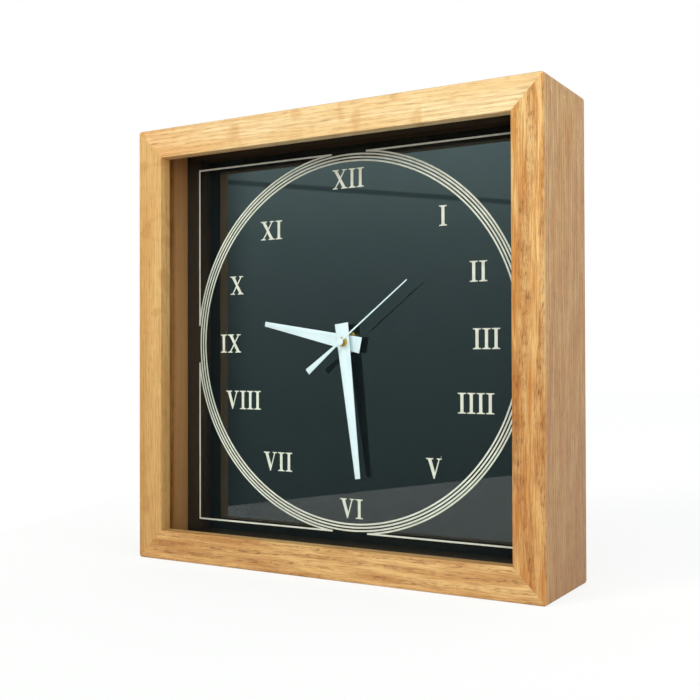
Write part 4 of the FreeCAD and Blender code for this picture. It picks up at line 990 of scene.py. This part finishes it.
# Outlines of the numerals, in units of a capital's height, anticlockwise from the foot.
GLYPHS = {
    "I": (0.42, [(0.0, 0.0), (0.42, 0.0), (0.42, 0.045), (0.32, 0.06), (0.29, 0.11), (0.29, 0.89), (0.32, 0.94),
                 (0.42, 0.955), (0.42, 1.0), (0.0, 1.0), (0.0, 0.955), (0.10, 0.94), (0.13, 0.89), (0.13, 0.11),
                 (0.10, 0.06), (0.0, 0.045)]),
    "V": (0.86, [(0.415, 0.0), (0.465, 0.0), (0.735, 0.91), (0.775, 0.945), (0.86, 0.955), (0.86, 1.0), (0.58, 1.0),
                 (0.58, 0.955), (0.655, 0.945), (0.672, 0.91), (0.489, 0.30), (0.305, 0.91), (0.325, 0.945),
                 (0.40, 0.955), (0.40, 1.0), (0.0, 1.0), (0.0, 0.955), (0.075, 0.945), (0.115, 0.91)]),
    "X": (0.90, [(0.02, 0.0), (0.32, 0.0), (0.32, 0.045), (0.235, 0.06), (0.235, 0.09), (0.427, 0.373),
                 (0.595, 0.09), (0.585, 0.06), (0.51, 0.045), (0.51, 0.0), (0.90, 0.0), (0.90, 0.045),
                 (0.825, 0.06), (0.785, 0.09), (0.519, 0.536), (0.735, 0.91), (0.775, 0.945), (0.87, 0.955),
                 (0.87, 1.0), (0.59, 1.0), (0.59, 0.955), (0.665, 0.945), (0.665, 0.91), (0.484, 0.616),
                 (0.325, 0.91), (0.335, 0.945), (0.40, 0.955), (0.40, 1.0), (0.0, 1.0), (0.0, 0.955),
                 (0.08, 0.945), (0.125, 0.91), (0.392, 0.464), (0.165, 0.09), (0.125, 0.06), (0.02, 0.045)]),
}

# What parts two capitals, in the same units.
GLYPH_GAP = 0.07

# Hour, and where the middle of its numeral stands from the centre of the dial, in mm.
HOURS = [("XII", -0.5, 96.9), ("I", 61.4, 70.3), ("II", 82.8, 38.1), ("III", 87.4, 0.9), ("IIII", 81.0, -34.7),
         ("V", 55.2, -71.7), ("VI", 1.2, -98.0), ("VII", -51.2, -72.8), ("VIII", -77.4, -35.4), ("IX", -87.1, 0.2),
         ("X", -82.3, 36.8), ("XI", -55.7, 69.8)]


class CLOCK_OT_numerals(bpy.types.Operator):
    """Print plain Roman numerals for the hours"""
    bl_idname = "clock.numerals"
    bl_label = "Numerals"

    def execute(self, context):
        look = context.scene.clock_dial
        tall, gap = look.numeral, GLYPH_GAP * look.numeral
        front, back = DIAL_FRONT - look.ink, DIAL_FRONT + INK_ROOT
        masters = {key: plate("glyph_" + key, [(x * tall, z * tall) for x, z in outline], front, back)
                   for key, (_, outline) in GLYPHS.items()}
        made = []
        for text, across, up in HOURS:
            reach = sum(GLYPHS[key][0] * tall for key in text) + gap * (len(text) - 1)
            x = across * MM - reach / 2
            for key in text:
                made.append(moved(copy_of(masters[key], "numeral"), (x, 0, HALF + up * MM - tall / 2)))
                x += GLYPHS[key][0] * tall + gap
        for master in masters.values():
            bpy.data.objects.remove(master)
        finished(joined(made, "dial_numerals"), BODY, "print_cream")
        return {"FINISHED"}


# The hands and what holds them.

# The two tapered hands, in mm from their axis: length, tail, width at the tail and at the tip, and radius of the hole.
HANDS = {"hour": (58.6, 10.4, 9.6, 2.9, 2.56), "minute": (80.1, 11.0, 9.0, 3.3, 1.33)}
# The second hand, in mm: length and tail, hub's radius, width at the hub, the tip and the end of the weight.
SWEEP_LENGTH, SWEEP_TAIL, SWEEP_HUB = 55.8, 28.5, 2.1
SWEEP_WIDE, SWEEP_TIP, SWEEP_WEIGHT = 0.9, 0.62, 3.8


class CLOCK_OT_hands(bpy.types.Operator):
    """Stamp the three flat hands and pierce them for their arbors"""
    bl_idname = "clock.hands"
    bl_label = "Hands"

    def execute(self, context):
        look = context.scene.clock_hands
        for kind, angle in (("hour", look.hour), ("minute", look.minute)):
            self.hand(kind, angle, look.edge, *HANDS[kind])
        self.sweep(look)
        return {"FINISHED"}

    def hand(self, kind, angle, edge, length, tail, wide, tip, hole):
        """A hand that tapers from its square tail to its square tip."""
        node = kind + "_hand"
        front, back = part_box(node)[0].y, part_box(node)[1].y
        outline = [(-wide / 2, -tail), (wide / 2, -tail), (tip / 2, length), (-tip / 2, length)]
        hand = plate(node + "_bar", [(x * MM, z * MM + HALF) for x, z in outline], front, back)
        bored(hand, hole * MM, front, back, 64)
        rounded(hand, edge, 2, 50)
        finished(turned(hand, angle), kind + "_group", "hand_white", [node])

    def sweep(self, look):
        """The thin second hand: a needle with a round hub and a weight that widens to its square end."""
        front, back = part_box("second_hand")[0].y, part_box("second_hand")[1].y
        spread = (SWEEP_WEIGHT - SWEEP_WIDE) / 2 / SWEEP_TAIL
        low = math.asin((SWEEP_WIDE / 2 + spread * SWEEP_HUB) / SWEEP_HUB)
        high = math.asin(SWEEP_WIDE / 2 / SWEEP_HUB)
        outline = [(-SWEEP_WEIGHT / 2, -SWEEP_TAIL), (SWEEP_WEIGHT / 2, -SWEEP_TAIL)]
        for step in range(13):
            turn = -math.pi / 2 + low + (math.pi - low - high) * step / 12
            outline.append((SWEEP_HUB * math.cos(turn), SWEEP_HUB * math.sin(turn)))
        outline += [(SWEEP_TIP / 2, SWEEP_LENGTH), (-SWEEP_TIP / 2, SWEEP_LENGTH)]
        outline += [(-x, z) for x, z in reversed(outline[2:-2])]
        hand = plate("second_hand_needle", [(x * MM, z * MM + HALF) for x, z in outline], front, back)
        rounded(hand, look.edge, 2, 50)
        finished(turned(hand, look.second), "second_group", "hand_white", ["second_hand"])


# The bush's nut: across its flats, how it stands, its hole, the round that its corners come off at, and its chamfers.
NUT_ACROSS, NUT_TURN, NUT_BORE, NUT_ROUND = 12.0 * MM, math.radians(38.0), 4.05 * MM, 6.95 * MM
NUT_CHAMFER, NUT_SINK = 0.75 * MM, 0.35 * MM
# The bush: outside and bore, the thread's pitch, and how much of the radius is left at its root.
BUSH_RADIUS, BUSH_BORE, PITCH, ROOT = 4.0 * MM, 2.6 * MM, 0.6 * MM, 0.93


class CLOCK_OT_hub(bpy.types.Operator):
    """Turn the brass bush, its washer and nut, the hand nut and the second hand's sleeve"""
    bl_idname = "clock.hub"
    bl_label = "Brass hub"

    def execute(self, context):
        self.nut()
        self.ring("bush_washer_ring", "bush_washer", 4.1, 0.12, BODY)
        self.bush()
        self.ring("minute_nut_ring", "minute_nut", 1.3, 0.3, "minute_group")
        self.ring("second_sleeve_tube", "second_sleeve", 0.52, 0.1, "second_group")
        return {"FINISHED"}

    def ring(self, name, node, hole, edge, body):
        """A turned ring with softened rims."""
        low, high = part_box(node)
        made = barrel(name, high.x, low.y, high.y)
        bored(made, hole * MM, low.y, high.y)
        rounded(made, edge * MM, 3, 50)
        finished(made, body, "brass", [node])

    def nut(self):
        """A hexagon with chamfered corners and a countersunk thread."""
        low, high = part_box("bush_nut")
        nut = barrel("bush_nut_hexagon", NUT_ACROSS / 2 / math.cos(math.pi / 6), low.y, high.y, sides=6)
        turned(nut, NUT_TURN)
        # a turned chamfer takes the corners off both faces
        dome = barrel("chamfer", NUT_ROUND, low.y, high.y)
        with shaping(dome):
            pick(dome, "EDGE", lambda edge: between(edge, flat, sideways))
            bpy.ops.mesh.bevel(offset=NUT_CHAMFER, segments=1, affect="EDGES")
        cut_by(nut, dome, "INTERSECT")
        bored(nut, NUT_BORE, low.y, high.y)
        with shaping(nut):
            pick(nut, "EDGE", lambda edge: between(edge, flat, sideways)
                 and (centre_of(edge) - MIDDLE).xz.length < NUT_BORE + 0.15 * MM)
            bpy.ops.mesh.bevel(offset=NUT_SINK, segments=1, affect="EDGES")
        finished(nut, BODY, "brass", ["bush_nut"], angle=25)

    def bush(self):
        """The threaded bush: a thread of shallow V turns, open for the hour wheel's pipe."""
        low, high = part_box("threaded_bush")
        bush = barrel("threaded_bush_turned", BUSH_RADIUS, low.y, high.y)
        turns = [low.y + turn * PITCH for turn in range(1, int((high.y - low.y) / PITCH))]
        with shaping(bush):
            for depth in turns:
                slit((0, depth, 0), (0, 1, 0))
            pick(bush, "EDGE", lambda edge: abs(edge.verts[0].co.y - edge.verts[1].co.y) < 1e-6
                 and any(abs(edge.verts[0].co.y - depth) < 1e-6 for depth in turns[::2]))
            bpy.ops.transform.resize(value=(ROOT, 1, ROOT), center_override=MIDDLE)
        bored(bush, BUSH_BORE, low.y, high.y)
        finished(bush, BODY, "brass", ["threaded_bush"], angle=25)


# The back.


class CLOCK_OT_back(bpy.types.Operator):
    """Plane the arrises of the backing board, the spacers and the strips that hold them"""
    bl_idname = "clock.back"
    bl_label = "Back"

    def execute(self, context):
        look = context.scene.clock_back
        eased("backing_board", "back_panel", look.board, BODY, "hardboard")
        for side, grain in (("bottom", "x"), ("top", "x"), ("left", "z"), ("right", "z")):
            for kind, wood, width in (("retainer", "strip_wood", look.strip), ("spacer", "spacer_wood", look.spacer)):
                eased(kind + "_" + side, kind + "_stick_" + side, width, BODY, wood + "_" + grain)
        return {"FINISHED"}


class CLOCK_OT_hanger(bpy.types.Operator):
    """Press the sawtooth hanger and drive in its two nails"""
    bl_idname = "clock.hanger"
    bl_label = "Hanger"

    def execute(self, context):
        look = context.scene.clock_back
        eased("sawtooth_hanger", "hanger_plate", look.metal, BODY, "hanger_steel")
        eased("hanger_nails", "hanger_pins", look.metal, BODY, "steel_wire")
        return {"FINISHED"}


class CLOCK_OT_movement(bpy.types.Operator):
    """Mould the movement's case and cover, with their edges softened"""
    bl_idname = "clock.movement"
    bl_label = "Movement"

    def execute(self, context):
        look = context.scene.clock_back
        for node, name in (("movement_case_front", "case_tray"), ("movement_cover", "case_lid")):
            eased(node, name, look.moulding, BODY, "case_plastic", segments=3, angle=40)
        return {"FINISHED"}


class CLOCK_OT_knob(bpy.types.Operator):
    """Mould the fluted setting knob"""
    bl_idname = "clock.knob"
    bl_label = "Setting knob"

    def execute(self, context):
        look = context.scene.clock_back
        eased("setting_knob", "knob_cap", look.moulding, "knob_group", "knob_plastic", segments=3, angle=40)
        return {"FINISHED"}


class CLOCK_OT_cell(bpy.types.Operator):
    """Draw the cell: a jacketed can with its rim, its button and its flat end"""
    bl_idname = "clock.cell"
    bl_label = "Cell"

    def execute(self, context):
        low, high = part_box("battery_cell")
        radius, button, tall = (high.z - low.z) / 2, 2.7 * MM, 1.0 * MM
        rim, groove = 1.0 * MM, 0.35 * MM
        centre = (low + high) / 2
        shoulder = high.x - tall
        can = start(bpy.ops.mesh.primitive_cylinder_add, "cell_can", vertices=64, radius=radius,
                    depth=shoulder - low.x, location=((low.x + shoulder) / 2, centre.y, centre.z),
                    rotation=(0, math.pi / 2, 0))
        with shaping(can):
            for end, outward in ((shoulder, 1), (low.x, -1)):
                pick(can, "FACE", lambda face: face.normal.x * outward > 0.9 and len(face.verts) > 8)
                bpy.ops.mesh.inset(thickness=rim)
                bpy.ops.mesh.inset(thickness=groove)
                push((-outward * groove, 0, 0))
                # one end rises into the button, the other only closes with a shallow step
                bpy.ops.mesh.inset(thickness=(radius - rim - groove - button) * (1 if outward > 0 else 0.3))
                push((outward * (groove + (tall if outward > 0 else 0)), 0, 0))
            face_outwards()
        rounded(can, 0.3 * MM, 3, 50)
        finished(can, "battery_group", "cell_jacket", ["battery_cell"], angle=30)
        return {"FINISHED"}


class CLOCK_OT_carried(bpy.types.Operator):
    """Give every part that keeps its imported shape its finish"""
    bl_idname = "clock.carried"
    bl_label = "Carried parts"

    def execute(self, context):
        slots = {node: entry["slot"] for entry in frame["record"]["materials"] for node in entry.get("nodes", [])}
        for name, node in frame["nodes"].items():
            for place in node.material_slots:
                slot = place.material.name.split(".")[0] if place.material else slots[name]
                place.material = finish(FIRST_OF.get(slot, slot))
        return {"FINISHED"}


STEPS = [CLOCK_OT_studio, CLOCK_OT_carried, CLOCK_OT_rails, CLOCK_OT_fillers, CLOCK_OT_glass, CLOCK_OT_dial,
         CLOCK_OT_dial_lines, CLOCK_OT_numerals, CLOCK_OT_hands, CLOCK_OT_hub, CLOCK_OT_back, CLOCK_OT_hanger,
         CLOCK_OT_movement, CLOCK_OT_knob, CLOCK_OT_cell]


class CLOCK_PT_panel(bpy.types.Panel):
    """The clock's pieces, in the order they are made"""
    bl_label = "Oak Clock"
    bl_idname = "CLOCK_PT_panel"
    bl_space_type = "VIEW_3D"
    bl_region_type = "UI"
    bl_category = "Clock"

    def draw(self, context):
        for settings in ("clock_frame", "clock_dial", "clock_hands", "clock_back", "clock_studio"):
            box = self.layout.box()
            group = getattr(context.scene, settings)
            for name in group.bl_rna.properties.keys():
                if name not in ("rna_type", "name"):
                    box.prop(group, name)
        for step in STEPS:
            self.layout.operator(step.bl_idname)


SETTINGS = {"clock_frame": ClockFrameSettings, "clock_dial": ClockDialSettings, "clock_hands": ClockHandSettings,
            "clock_back": ClockBackSettings, "clock_studio": ClockStudioSettings}


def register():
    """Make the settings, the operators and the panel known to Blender."""
    for group in SETTINGS.values():
        bpy.utils.register_class(group)
    for name, group in SETTINGS.items():
        setattr(bpy.types.Scene, name, bpy.props.PointerProperty(type=group))
    for step in STEPS:
        bpy.utils.register_class(step)
    bpy.utils.register_class(CLOCK_PT_panel)


def unregister():
    """Take them away again."""
    bpy.utils.unregister_class(CLOCK_PT_panel)
    for step in reversed(STEPS):
        bpy.utils.unregister_class(step)
    for name in SETTINGS:
        delattr(bpy.types.Scene, name)
    for group in SETTINGS.values():
        bpy.utils.unregister_class(group)


def main():
    """Build the clock."""
    register()
    for step in STEPS:
        getattr(bpy.ops.clock, step.bl_idname.removeprefix("clock."))()


if __name__ == "__main__":
    main()
